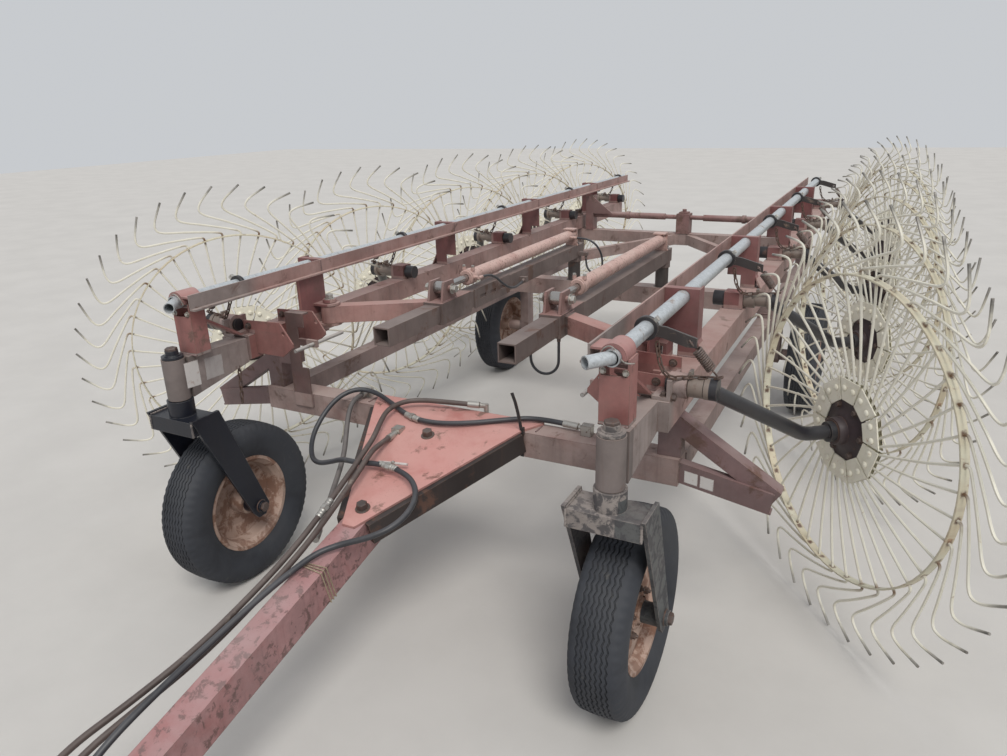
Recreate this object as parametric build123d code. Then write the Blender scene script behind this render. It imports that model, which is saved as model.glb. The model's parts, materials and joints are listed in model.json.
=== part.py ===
from build123d import *
import math
import os

os.makedirs("parts", exist_ok=True)

# Wheel rake, folded for transport. Millimetres, +Z up, ground at Z 0.
# X is across, Y runs from the tongue (minus) to the rear (plus), Y 0 is at the caster swivels.
# Everything on the right-hand side is modelled once and mirrored to the left.

# Tyres and wheels
TYRE_R = 345.0
TYRE_W = 180.0
RIM_R = 205.0
RIM_W = 130.0
SPINDLE_R = 25.0
COLLAR_R = 36.0
RUN_GAP = 0.05
SEAT_GAP = 0.3
CLEARANCE = 2.0
HUB_IN = 56.0
HUB_OUT = 52.0
TRACK_X = 1080.0
MAIN_Y = 3110.0

# Front casters
CASTER_X = 865.0
CASTER_TRAIL = 200.0
KINGPIN_R = 30.0
SLEEVE_R = 42.5
SLEEVE_LOW = 885.0
SLEEVE_TOP = 1045.0
BRIDGE_LOW = 760.0
BRIDGE_TOP = 820.0
FORK_X = 118.0
FORK_T = 12.0

# Rake beams
BEAM_X = 890.0
BEAM_Z = 985.0
BEAM_SIZE = 100.0
BEAM_FRONT = 330.0
BEAM_REAR = 5100.0
HINGE_Y = 4120.0
HINGE_R = 25.0
RAIL_X = 782.0
RAIL_TOP = 1282.0
RAIL_LEG = 58.0
RAIL_FLANGE = 30.0
RAIL_FRONT = 45.0
RAIL_REAR = 5050.0
SHEET = 7.0
CARRIER_Y = 780.0
CARRIER_W = 126.0
LATCH_Y = (400.0, 600.0)

# Lift pipe
PIPE_X = 848.0
PIPE_Z = 1252.0
PIPE_R = 25.0
RING_Y = 345.0
LEVER_X = 985.0
LEVER_T = 8.0

# Rake wheels
WHEEL_COUNT = 5
WHEEL_PITCH = 1160.0
WHEEL_X = 1425.0
WHEEL_Y = 900.0
WHEEL_Z = 795.0
WHEEL_TOE = 52.4
TINE_COUNT = 40
TINE_D = 8.0
CLAMP_PLATES = 10
CLAMP_OUTER = 192.0
CLAMP_INNER = 112.0
DISC_R = 118.0
BAND_SIDES = 20
BAND_R = 545.0
BAND_H = 30.0
BAND_T = 5.0
TIP_R = 762.0
BOSS_LENGTH = 60.0
ARM_PIVOT_Y = 380.0
ARM_PIVOT_Z = 1072.0

# Main frame
FRAME_Z = 700.0
FRAME_TUBE = 100.0
CROSS_Y = 560.0
SIDE_X = 890.0
SIDE_TUBE = 80.0
SWING_Y = 2540.0
REAR_CROSS_LOW = 840.0
REAR_CROSS_TOP = 928.0
STAY_Y = 3450.0
POST_X = 765.0
POST_TOP = 1110.0
REST_TIP_X = 1240.0

# Tongue and cover plate
TONGUE_W = 90.0
TONGUE_H = 120.0
TONGUE_REAR = (0.0, 505.0, 687.0)
TONGUE_FRONT = (0.0, -1350.0, 251.0)
HITCH_PIN_R = 16.0
PLATE_T = 8.0
PLATE_HALF = 385.0
PLATE_APEX_Y = -120.0

# Swing tubes and fold cylinders
SWING_X = 280.0
SWING_Z = 1050.0
SWING_TUBE = 76.0
SWING_WALL = 6.0
SWING_FRONT = 515.0
SWING_PIN_R = 25.0
SLIDE_FRONT = 900.0
SLIDE_LENGTH = 260.0
SLIDE_SIZE = 96.0
LINK_X = 720.0
LINK_Y = 740.0
BARREL_R = 32.0
BARREL_FRONT = 1200.0
BARREL_REAR = 2500.0
BARREL_Z = 1150.0
ROD_R = 16.0

# Hoses
SUPPLY_R = 10.0
LINE_R = 6.0
FERRULE_R = 13.0
LINE_FERRULE_R = 8.0
FERRULE_LENGTH = 62.0

BLACK_ROUTE = [
    (470, 598, 773),
    (357, 606, 774),
    (261, 546, 774),
    (128, 470, 765),
    (0, 432, 758),
    (-124, 446, 758),
    (-282, 530, 773),
    (-370, 556, 790),
    (-440, 530, 804),
    (-494, 466, 780),
    (-524, 392, 718),
    (-524, 318, 652),
    (-472, 245, 608),
    (-400, 200, 612),
    (-320, 188, 640),
    (-240, 160, 680),
    (-137, 121, 704),
    (-60, 141, 706),
    (19, 136, 706),
    (114, 100, 702),
    (180, 30, 690),
    (205, -55, 672),
    (185, -130, 650),
    (125, -180, 626),
    (50, -215, 606),
    (-5, -270, 592),
    (-35, -360, 568),
    (-60, -464, 541),
    (-86, -640, 496),
    (-108, -820, 452),
    (-120, -985, 407),
    (-150, -1110, 305),
    (-195, -1205, 180),
    (-235, -1288, 59),
    (-262, -1362, 15),
    (-280, -1425, 15),
]
OUTER_ROUTE = [
    (60, 592, 789),
    (-40, 566, 793),
    (-130, 552, 791),
    (-190, 505, 793),
    (-213, 425, 784),
    (-190, 340, 762),
    (-152, 245, 745),
    (-121, 150, 740),
    (-102, 31, 706),
    (-88, -133, 650),
    (-86, -295, 590),
    (-104, -480, 527),
    (-122, -680, 474),
    (-178, -860, 420),
    (-250, -1020, 362),
    (-310, -1140, 240),
    (-350, -1230, 120),
    (-372, -1296, 53),
    (-390, -1364, 15),
    (-402, -1425, 15),
]
INNER_ROUTE = [
    (-124, 300, 728),
    (-112, 225, 735),
    (-97, 150, 737),
    (-77, 40, 703),
    (-62, -133, 644),
    (-60, -295, 582),
    (-79, -480, 519),
    (-96, -680, 466),
    (-146, -850, 415),
    (-196, -1010, 362),
    (-250, -1130, 250),
    (-290, -1220, 130),
    (-310, -1290, 57),
    (-325, -1362, 15),
    (-336, -1425, 15),
]
GREY_ROUTE = [
    (-430, 544, 771),
    (-429, 490, 772),
    (-416, 432, 738),
    (-386, 372, 684),
    (-345, 300, 630),
    (-295, 205, 605),
    (-235, 90, 590),
    (-175, -20, 578),
    (-125, -125, 562),
]
FRONT_LINE = [
    (-214, 1236, 1152),
    (-214, 1305, 1150),
    (-211, 1375, 1120),
    (-206, 1435, 1075),
    (-203, 1505, 1040),
    (-205, 1585, 1030),
    (-214, 1660, 1040),
]
REAR_LINE = [
    (-205, 2400, 1150),
    (-145, 2402, 1150),
    (-92, 2415, 1118),
    (-68, 2440, 1065),
    (-66, 2464, 1010),
    (-72, 2474, 960),
    (-106, 2484, 925),
    (-155, 2500, 925),
    (-190, 2512, 962),
    (-193, 2518, 1003),
]
SLIDE_LINE = [
    (184, 920, 1000),
    (184, 919, 940),
    (184, 917, 875),
    (222, 915, 838),
    (274, 915, 838),
    (312, 917, 875),
    (312, 919, 935),
    (312, 920, 985),
]


def bar(start, end, width, height, up=(0, 0, 1)):
    """Box from start to end, width across and height along up."""
    a = Vector(*start)
    b = Vector(*end)
    along = (b - a).normalized()
    side = along.cross(Vector(*up)).normalized()
    plane = Plane(origin=a, x_dir=side, z_dir=along)
    return extrude(plane * Rectangle(width, height), (b - a).length)


def rod(start, end, radius):
    """Round bar from start to end."""
    a = Vector(*start)
    b = Vector(*end)
    plane = Plane(origin=a, z_dir=(b - a).normalized())
    return extrude(plane * Circle(radius), (b - a).length)


def tube(start, end, radius, wall):
    """Round tube from start to end."""
    return rod(start, end, radius) - rod(start, end, radius - wall)


def box(x, y, z):
    """Box between pairs of limits on the three axes."""
    solid = Box(x[1] - x[0], y[1] - y[0], z[1] - z[0])
    return Pos((x[0] + x[1]) / 2, (y[0] + y[1]) / 2, (z[0] + z[1]) / 2) * solid


def square_tube(start, end, size, wall):
    """Hollow square tube from start to end."""
    return bar(start, end, size, size) - bar(start, end, size - 2 * wall, size - 2 * wall)


def plate_yz(points, x, thick):
    """Flat plate cut to an outline of (y, z) points, from x outwards."""
    plane = Plane(origin=(x, 0, 0), x_dir=(0, 1, 0), z_dir=(1, 0, 0))
    return extrude(plane * make_face(Polyline(*points, close=True)), thick)


def plate_xz(points, y, thick):
    """Flat plate cut to an outline of (x, z) points, from y rearwards."""
    plane = Plane(origin=(0, y, 0), x_dir=(1, 0, 0), z_dir=(0, -1, 0))
    return extrude(plane * make_face(Polyline(*points, close=True)), -thick)


def plate_xy(points, z, thick):
    """Flat plate cut to an outline of (x, y) points, from z upwards."""
    plane = Plane(origin=(0, 0, z))
    return extrude(plane * make_face(Polyline(*points, close=True)), thick)


def flip(shape):
    """Mirror a right-hand piece to the left."""
    return mirror(shape, about=Plane.YZ)


def both(shape):
    """A piece and its mirror image."""
    return shape + flip(shape)


def step(point, direction, length):
    """Point at a length from another along a direction."""
    return tuple(point[i] + direction[i] * length for i in range(3))


def hose(points, radius):
    """Hose through corner points; each corner is rounded within the shorter of its two runs."""
    radii = []
    for before, corner, after in zip(points, points[1:], points[2:]):
        run_in = Vector(*corner) - Vector(*before)
        run_out = Vector(*after) - Vector(*corner)
        turn = math.radians(run_in.get_angle(run_out))
        radii.append(0.45 * min(run_in.length, run_out.length) / math.tan(turn / 2))
    route = FilletPolyline(*points, radius=radii)
    section = Plane(origin=points[0], z_dir=route % 0) * Circle(radius)
    made = sweep(section, path=route)
    volume = made.volume / (math.pi * radius * radius * route.length)
    print("hose", round(route.length), "mm, tightest bend", round(min(radii)), "mm, volume", round(volume, 3))
    return made


def ferrule(points, radius, length):
    """Crimped sleeve that meets a hose's first point face to face."""
    back = (Vector(*points[0]) - Vector(*points[1])).normalized()
    start = Vector(*points[0])
    return rod(tuple(start), tuple(start + back * length), radius)


def tyre_body():
    """Tyre with rounded shoulders and a shallow bead step, about the X axis at the origin."""
    half = TYRE_W / 2
    with BuildPart() as made:
        with BuildSketch(Plane.XZ):
            with BuildLine():
                Polyline((half * 0.66, TYRE_R - 3), (0, TYRE_R), (-half * 0.66, TYRE_R - 3))
                ThreePointArc(
                    (-half * 0.66, TYRE_R - 3),
                    (-half * 0.93, TYRE_R - 22),
                    (-half, TYRE_R - 60),
                )
                Polyline((-half, TYRE_R - 60), (-half * 0.94, RIM_R + 38), (-RIM_W / 2, RIM_R))
                Line((-RIM_W / 2, RIM_R), (RIM_W / 2, RIM_R))
                Polyline((RIM_W / 2, RIM_R), (half * 0.94, RIM_R + 38), (half, TYRE_R - 60))
                ThreePointArc(
                    (half, TYRE_R - 60),
                    (half * 0.93, TYRE_R - 22),
                    (half * 0.66, TYRE_R - 3),
                )
            make_face()
        revolve(axis=Axis.X)
    return made.part


def rim_body(bore):
    """Pressed rim with its hub, about the X axis at the origin; the open side is plus X."""
    half = RIM_W / 2
    with BuildPart() as made:
        with BuildSketch(Plane.XZ):
            with BuildLine():
                Polyline(
                    (-half, RIM_R),
                    (-half, RIM_R - 14),
                    (-half * 0.6, RIM_R - 32),
                    (10, RIM_R - 36),
                    (22, RIM_R - 90),
                    (16, 48),
                    (-HUB_IN, 48),
                    (-HUB_IN, bore),
                    (HUB_OUT, bore),
                    (HUB_OUT, 40),
                    (28, 48),
                    (34, RIM_R - 90),
                    (24, RIM_R - 32),
                    (half * 0.7, RIM_R - 28),
                    (half, RIM_R - 14),
                    (half, RIM_R),
                    close=True,
                )
            make_face()
        revolve(axis=Axis.X)
    return made.part


def wheel_point(radius, angle):
    """Point in a rake wheel's own plane."""
    turn = math.radians(angle)
    return (radius * math.cos(turn), radius * math.sin(turn))


def strip(points, width):
    """Closed outline of a bent strip of even width through the points."""
    left = []
    right = []
    for index, point in enumerate(points):
        before = points[max(index - 1, 0)]
        after = points[min(index + 1, len(points) - 1)]
        dx = after[0] - before[0]
        dy = after[1] - before[1]
        size = math.hypot(dx, dy)
        nx = -dy / size * width / 2
        ny = dx / size * width / 2
        left.append((point[0] + nx, point[1] + ny))
        right.append((point[0] - nx, point[1] - ny))
    return left + right[::-1]


def rake_wheel():
    """Rake wheel in the XY plane at the origin, its hub's inner side towards plus Z.

    Forty bent tines run from a ring of clamp plates, through a rolled band, to their tips.
    """
    tine_path = [
        wheel_point(CLAMP_OUTER - 30, 0),
        wheel_point(BAND_R + 14, 22),
        wheel_point(BAND_R + 95, 1),
        wheel_point(TIP_R, 7),
    ]
    tine = make_face(Polyline(*strip(tine_path, TINE_D), close=True))
    fan = RegularPolygon(CLAMP_OUTER, CLAMP_PLATES) - Circle(CLAMP_INNER)
    for index in range(TINE_COUNT):
        fan += Rot(0, 0, 360.0 / TINE_COUNT * index) * tine
    wheel = extrude(Pos(0, 0, 4) * fan, TINE_D)
    plates = RegularPolygon(CLAMP_OUTER - 4, CLAMP_PLATES) - Circle(CLAMP_INNER - 8)
    wheel += Pos(0, 0, -2) * extrude(plates, TINE_D + 12)
    wheel += Pos(0, 0, 4) * extrude(Circle(DISC_R) - Circle(SPINDLE_R + RUN_GAP), TINE_D)
    wheel += extrude(Circle(48) - Circle(SPINDLE_R + RUN_GAP), BOSS_LENGTH)
    hoop = RegularPolygon(BAND_R + BAND_T, BAND_SIDES) - RegularPolygon(BAND_R - BAND_T, BAND_SIDES)
    wheel += Pos(0, 0, TINE_D - BAND_H / 2) * extrude(hoop, BAND_H)
    return wheel


def place_wheel(shape, index):
    """Put a rake wheel made at the origin on its hub."""
    toe = math.radians(WHEEL_TOE)
    plane = Plane(
        origin=(WHEEL_X, WHEEL_Y + WHEEL_PITCH * index, WHEEL_Z),
        x_dir=(math.cos(toe), -math.sin(toe), 0),
        z_dir=(-math.sin(toe), -math.cos(toe), 0),
    )
    return plane.location * shape


nodes = {}

# Main frame: cross tubes, side tubes, axle legs, swing posts, rear uprights with the beam pins
half = FRAME_TUBE / 2
low = FRAME_Z - half
top = FRAME_Z + half
side_low = FRAME_Z - SIDE_TUBE / 2
side_top = FRAME_Z + SIDE_TUBE / 2
side_half = SIDE_TUBE / 2
cross_front = CROSS_Y - half
cross_rear = CROSS_Y + half
saddle_top = side_top + 25
swing_base = saddle_top + FRAME_TUBE
swing_low = SWING_Z - SWING_TUBE / 2 - 30


def main_frame():
    """Welded frame that stays put while the beams open."""
    frame = box((-SIDE_X - side_half, SIDE_X + side_half), (cross_front, cross_rear), (low, top))
    side = box((SIDE_X - side_half, SIDE_X + side_half), (CROSS_Y, HINGE_Y + half), (side_low, side_top))
    leg = box((SIDE_X - 30, SIDE_X + 30), (MAIN_Y - 45, MAIN_Y + 45), (TYRE_R - 45, side_low))
    inner = (SIDE_X + 30, MAIN_Y, TYRE_R)
    spindle = rod(inner, (TRACK_X + 60, MAIN_Y, TYRE_R), SPINDLE_R)
    spindle += rod(inner, (TRACK_X - HUB_IN - SEAT_GAP, MAIN_Y, TYRE_R), COLLAR_R)
    pad = box((SIDE_X - side_half, SIDE_X + side_half), (SWING_Y - half, SWING_Y + half), (side_top, saddle_top))
    frame += both(side + leg + spindle + pad)
    frame += box((-SIDE_X - side_half, SIDE_X + side_half), (SWING_Y - half, SWING_Y + half),
                 (saddle_top, swing_base))
    post = rod((SWING_X, SWING_Y, swing_base), (SWING_X, SWING_Y, swing_low - CLEARANCE), 38)
    post += rod((SWING_X, SWING_Y, swing_base), (SWING_X, SWING_Y, SWING_Z + 50), SWING_PIN_R)
    frame += both(post)
    return frame + latch_posts() + rear_frame()


def rear_frame():
    """Rear cross tube on its uprights, the diagonal stays, and the pins that the beams turn on."""
    rear = box((-SIDE_X - 60, SIDE_X + 60), (HINGE_Y - 45, HINGE_Y + 45), (REAR_CROSS_LOW, REAR_CROSS_TOP))
    upright = box((SIDE_X - side_half, SIDE_X + side_half), (HINGE_Y - 40, HINGE_Y + 40),
                  (side_top, REAR_CROSS_LOW))
    stay = bar((SIDE_X - 30, STAY_Y, side_top + 35), (40, HINGE_Y - 20, REAR_CROSS_TOP - 43), 50, 76)
    pin = rod((BEAM_X, HINGE_Y, REAR_CROSS_TOP), (BEAM_X, HINGE_Y, BEAM_Z + half + 20), HINGE_R)
    pin += rod((BEAM_X, HINGE_Y, REAR_CROSS_TOP), (BEAM_X, HINGE_Y, BEAM_Z - half - CLEARANCE), 60)
    pin += rod((BEAM_X, HINGE_Y, BEAM_Z + half + CLEARANCE), (BEAM_X, HINGE_Y, BEAM_Z + half + 14), 42)
    return rear + both(upright + stay + pin)


def latch_posts():
    """Channel posts on the front cross tube with the rods that the beams latch on."""
    web = box((POST_X - SHEET, POST_X), (CROSS_Y - 60, CROSS_Y - 20), (top - 1, POST_TOP))
    flanges = box((POST_X - 95, POST_X), (CROSS_Y - 60, CROSS_Y - 60 + SHEET), (top - 1, POST_TOP))
    flanges -= box((POST_X - 100, POST_X - 60), (CROSS_Y - 80, CROSS_Y), (top + 120, POST_TOP + 1))
    cap = box((POST_X - 95, POST_X), (CROSS_Y - 60, CROSS_Y - 20), (POST_TOP - SHEET, POST_TOP))
    cap += box((POST_X - 95, POST_X - 60), (CROSS_Y - 60, CROSS_Y - 53), (POST_TOP - 60, POST_TOP))
    lug = box((POST_X - 155, POST_X - 60), (CROSS_Y - 60, CROSS_Y - 44), (970, 1000))
    latch = rod((POST_X - 140, LATCH_Y[0] - 10, 985), (POST_X - 140, LATCH_Y[1] + 90, 985), 8)
    foot = box((POST_X - 95, POST_X), (CROSS_Y - 60, cross_front), (top - 60, top))
    return both(web + flanges + cap + lug + latch + foot)


nodes["main_frame"] = main_frame()

# Tower with the two telescoped side pipes at the rear, and a gusset at each end
pipe_z = 1050
tower = box((-50, 50), (HINGE_Y - 50, HINGE_Y + 50), (REAR_CROSS_TOP, 1080))
tower += box((-34, 34), (HINGE_Y - 34, HINGE_Y + 34), (1080, 1092))
tower += rod((0, HINGE_Y, 1092), (0, HINGE_Y, 1112), 16)
inner_pipe = rod((50, HINGE_Y, pipe_z), (200, HINGE_Y, pipe_z), 17)
outer_pipe = rod((150, HINGE_Y, pipe_z), (750, HINGE_Y, pipe_z), 24)
outer_pipe += rod((440, HINGE_Y, pipe_z), (466, HINGE_Y, pipe_z), 31)
end_post = box((740, 740 + SHEET), (HINGE_Y - 50, HINGE_Y + 50), (REAR_CROSS_TOP, 1200))
end_post += box((740, 800), (HINGE_Y - 50, HINGE_Y - 50 + SHEET), (REAR_CROSS_TOP, 1200))
end_post += box((740, 800), (HINGE_Y + 50 - SHEET, HINGE_Y + 50), (REAR_CROSS_TOP, 1200))
gusset = plate_xz([(746, 1200), (746, 1060), (570, 1060)], HINGE_Y - 50, SHEET)
nodes["rear_tower"] = tower + both(inner_pipe + outer_pipe + end_post + gusset)

# Tongue with its clevis
slope = (TONGUE_REAR[2] - TONGUE_FRONT[2]) / (TONGUE_REAR[1] - TONGUE_FRONT[1])
hitch_y = TONGUE_FRONT[1] - 110
hitch_z = TONGUE_FRONT[2]
tongue = bar((0, TONGUE_REAR[1] + 60, TONGUE_REAR[2] + 60 * slope), TONGUE_FRONT, TONGUE_W, TONGUE_H)
for level in (-1, 1):
    ear_z = hitch_z + level * 38
    ear = box((-45, 45), (hitch_y, TONGUE_FRONT[1] + 60), (ear_z - 8, ear_z + 8))
    ear += rod((0, hitch_y, ear_z - 8), (0, hitch_y, ear_z + 8), 45)
    tongue += ear
tongue -= rod((0, hitch_y, 0), (0, hitch_y, 600), HITCH_PIN_R)
tongue -= box((-50, 50), (cross_front, 700), (0, 1000))
nodes["tongue"] = tongue

# Cover plate: flat over the cross tube, then falling with the tongue to a narrow end
plate_line = [(cross_rear, top), (cross_front, top), (PLATE_APEX_Y, top - (cross_front - PLATE_APEX_Y) * slope)]
fall = plate_yz(plate_line + [(y, z + PLATE_T) for y, z in reversed(plate_line)], -PLATE_HALF, 2 * PLATE_HALF)
edge = [(25, PLATE_APEX_Y), (PLATE_HALF, cross_rear - 10), (PLATE_HALF, cross_rear + 10)]
cover_plan = plate_xy(edge + [(-x, y) for x, y in reversed(edge)], 400, 600)
nodes["cover_plate"] = fall & cover_plan

# A-frame: two channels under the slanted edges of the cover plate
a_start = (PLATE_HALF - 50, cross_front - 2, top - 39)
a_end = (52, PLATE_APEX_Y + 40, top - 39 - (cross_front - PLATE_APEX_Y - 42) * slope)
a_bar = bar(a_start, a_end, 38, 76) - Pos(-8, 0, 0) * bar(a_start, a_end, 34, 62)
a_bar -= box((0, 900), (cross_front, cross_rear), (0, 1000))
nodes["a_frame"] = both(a_bar) - tongue - nodes["cover_plate"]

# Rests at both ends of the front cross tube
rest_x = SIDE_X + side_half
rest = box((SIDE_X - side_half, rest_x), (CROSS_Y - 30, CROSS_Y + 30), (top, 866))
rest += box((POST_X + SEAT_GAP, SIDE_X + 10), (CROSS_Y - 30, CROSS_Y + 30), (865, 925))
rest += bar((SIDE_X - 10, CROSS_Y, 895), (REST_TIP_X + 10, CROSS_Y, 660), 60, 60)
web = bar((rest_x, CROSS_Y - 37, FRAME_Z), (REST_TIP_X, CROSS_Y - 37, 645), SHEET, 76)
flange_top = bar((rest_x, CROSS_Y - 21, FRAME_Z + 35), (REST_TIP_X, CROSS_Y - 21, 680), 38, SHEET)
flange_low = bar((rest_x, CROSS_Y - 21, FRAME_Z - 35), (REST_TIP_X, CROSS_Y - 21, 610), 38, SHEET)
channel = web + flange_top + flange_low
channel -= box((0, rest_x), (cross_front - 60, cross_rear), (0, top))
nodes["beam_rests"] = both(rest + channel)

# Rake beams
b_low = BEAM_Z - BEAM_SIZE / 2
b_top = BEAM_Z + BEAM_SIZE / 2
b_in = BEAM_X - BEAM_SIZE / 2
b_out = BEAM_X + BEAM_SIZE / 2


def gooseneck():
    """Raised front end of a beam with the swivel sleeve."""
    side = [(35, SLEEVE_LOW), (BEAM_FRONT, b_low), (BEAM_FRONT, b_top), (35, SLEEVE_TOP)]
    neck = plate_yz(side, CASTER_X - 40, 80)
    neck += rod((CASTER_X, 0, SLEEVE_LOW), (CASTER_X, 0, SLEEVE_TOP), SLEEVE_R)
    return neck


def front_post():
    """Channel post on the gooseneck with the half-round saddle over the lift pipe."""
    low_z = SLEEVE_TOP - 4
    web = box((PIPE_X - 45, PIPE_X + 45), (RAIL_FRONT + 15, RAIL_FRONT + 15 + SHEET), (low_z, PIPE_Z - 8))
    post = web
    for x in (PIPE_X - 45, PIPE_X + 45 - SHEET):
        post += box((x, x + SHEET), (RAIL_FRONT + 15, RAIL_FRONT + 85), (low_z, PIPE_Z - 8))
    post += rod((PIPE_X, RAIL_FRONT, PIPE_Z), (PIPE_X, RAIL_FRONT + 85, PIPE_Z), PIPE_R + 14)
    post += box((RAIL_X - SHEET, PIPE_X), (RAIL_FRONT, RAIL_FRONT + 85),
                (RAIL_TOP - 2 * SHEET, RAIL_TOP - SHEET))
    post -= box((PIPE_X - 38, PIPE_X + 38), (0, RAIL_FRONT + 100), (PIPE_Z - 60, PIPE_Z - 8.5))
    return post


def carrier(y):
    """Channel post that carries the pipe in a hole, with a stiffening flange on its outer side."""
    x_end = RAIL_X + CARRIER_W
    post = box((RAIL_X - SHEET, x_end), (y - SHEET, y), (b_top - 1, RAIL_TOP))
    post += box((x_end - SHEET, x_end), (y - SHEET, y + 62), (b_top - 1, RAIL_TOP))
    post += box((RAIL_X - SHEET, x_end), (y - SHEET, y + 30), (RAIL_TOP - SHEET, RAIL_TOP))
    outside = [(b_out - SHEET, b_top - 1), (b_out, b_top - 1), (x_end, b_top + 60), (x_end - SHEET, b_top + 60)]
    post += plate_xz(outside, y - SHEET, 62)
    post -= box((RAIL_X - 20, b_in - 0.5), (y - 20, y + 80), (b_top - 10, b_top + 60))
    return post


def link_column():
    """Wide plates inside the beam that carry the ears of the folding link."""
    column = box((b_in - 34, b_in), (CARRIER_Y - 200, CARRIER_Y), (b_low, b_top))
    column += box((RAIL_X - SHEET, RAIL_X), (CARRIER_Y - 170, CARRIER_Y), (b_low + 20, RAIL_TOP - RAIL_LEG))
    ears = None
    for level in (-1, 1):
        z = SWING_Z + level * 45
        ear = box((LINK_X, b_in - 30), (LINK_Y - 46, LINK_Y + 46), (z - 5, z + 5))
        ear += rod((LINK_X, LINK_Y, z - 5), (LINK_X, LINK_Y, z + 5), 46)
        ears = ear if ears is None else ears + ear
    column += ears
    column += box((b_in - 34, b_in - 20), (LINK_Y - 46, LINK_Y + 46), (b_top - 5, SWING_Z + 50))
    return column


def latch_plates():
    """Pair of shaped plates on the beam's front that hook behind the frame's latch rod."""
    outline = [
        (b_in + 60, b_top),
        (b_in + 60, 1088),
        (700, 1095),
        (640, 1010),
        (640, 996),
        (700, 950),
        (b_in, b_low + 15),
        (b_in, b_top),
    ]
    plates = None
    for y in LATCH_Y:
        plate = plate_xz(outline, y - SHEET / 2, SHEET)
        plate -= rod((685, y - 20, 1050), (685, y + 20, 1050), 9)
        plates = plate if plates is None else plates + plate
    stub_y = LATCH_Y[0] + 22
    stub = tube((b_in - 40, stub_y, b_top + 24), (b_out - 34, stub_y, b_top + 24), 20, 4)
    return plates + stub


def arm_seats():
    """Blocks and bracket that the wheel arms pivot on."""
    seats = None
    for index in range(WHEEL_COUNT):
        y = ARM_PIVOT_Y + WHEEL_PITCH * index
        if index == 0:
            seat = box((b_out - 14, b_out), (y - 60, y + 60), (b_low + 10, ARM_PIVOT_Z + 30))
            seat += box((b_out - 60, b_out), (y - 60, y + 60), (b_top, b_top + 12))
            seat += tube((b_out - 20, y, ARM_PIVOT_Z), (b_out + 40, y, ARM_PIVOT_Z), 40, 14.9)
        else:
            seat = box((b_in + 10, b_out - 10), (y - 38, y + 38), (b_top - 1, ARM_PIVOT_Z + 36))
        seat -= rod((b_in - 80, y, ARM_PIVOT_Z), (b_out + 80, y, ARM_PIVOT_Z), SPINDLE_R + RUN_GAP)
        seats = seat if seats is None else seats + seat
    return seats


def beam():
    """Beam tube with its front end, rail, posts and seats, bored for the hinge pin."""
    made = box((b_in, b_out), (BEAM_FRONT - 20, BEAM_REAR), (b_low, b_top))
    made += gooseneck() + front_post() + link_column() + latch_plates() + arm_seats()
    rail = box((RAIL_X - SHEET, RAIL_X), (RAIL_FRONT, RAIL_REAR), (RAIL_TOP - RAIL_LEG, RAIL_TOP))
    rail += box((RAIL_X - RAIL_FLANGE, RAIL_X), (RAIL_FRONT, RAIL_REAR),
                (RAIL_TOP - RAIL_LEG, RAIL_TOP - RAIL_LEG + SHEET))
    made += rail
    for index in range(4):
        made += carrier(CARRIER_Y + WHEEL_PITCH * index)
    made -= rod((PIPE_X, 0, PIPE_Z), (PIPE_X, BEAM_REAR, PIPE_Z), PIPE_R + 1)
    brace = bar((PIPE_X + 10, RAIL_FRONT + 50, 1196), (PIPE_X + 10, BEAM_FRONT + 20, b_top), 44, 10)
    made += brace
    made -= rod((BEAM_X, HINGE_Y, b_low - 1), (BEAM_X, HINGE_Y, b_top + 1), HINGE_R + RUN_GAP)
    made -= rod((CASTER_X, 0, SLEEVE_LOW - 1), (CASTER_X, 0, SLEEVE_TOP + 1), KINGPIN_R + RUN_GAP)
    return made


def lift_pipe():
    """Galvanised pipe with its bent front end, stop rings and the bar levers of the springs."""
    pipe = tube((PIPE_X, 30, PIPE_Z), (PIPE_X, BEAM_REAR + 50, PIPE_Z), PIPE_R, 4)
    pipe += tube((PIPE_X, 44, PIPE_Z), (PIPE_X - 52, -30, PIPE_Z), 19.5, 3.5)
    for index in range(WHEEL_COUNT):
        y = RING_Y + WHEEL_PITCH * index
        pipe += tube((PIPE_X, y, PIPE_Z), (PIPE_X, y + 14, PIPE_Z), 38, 14)
        lever = [
            (PIPE_X + 20, PIPE_Z + 14),
            (PIPE_X + 62, PIPE_Z + 10),
            (LEVER_X + 18, PIPE_Z - 16),
            (LEVER_X + 18, PIPE_Z - 46),
            (LEVER_X - 14, PIPE_Z - 46),
            (PIPE_X + 44, PIPE_Z - 24),
            (PIPE_X + 10, PIPE_Z - 24),
        ]
        plate = plate_xz(lever, y + 3, LEVER_T)
        plate -= rod((PIPE_X, y - 5, PIPE_Z), (PIPE_X, y + 30, PIPE_Z), PIPE_R - 2)
        plate -= rod((LEVER_X, y - 5, PIPE_Z - 30), (LEVER_X, y + 30, PIPE_Z - 30), 6)
        pipe += plate
    return pipe


toe = math.radians(WHEEL_TOE)
axle_dir = (math.sin(toe), math.cos(toe), 0)


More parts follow.
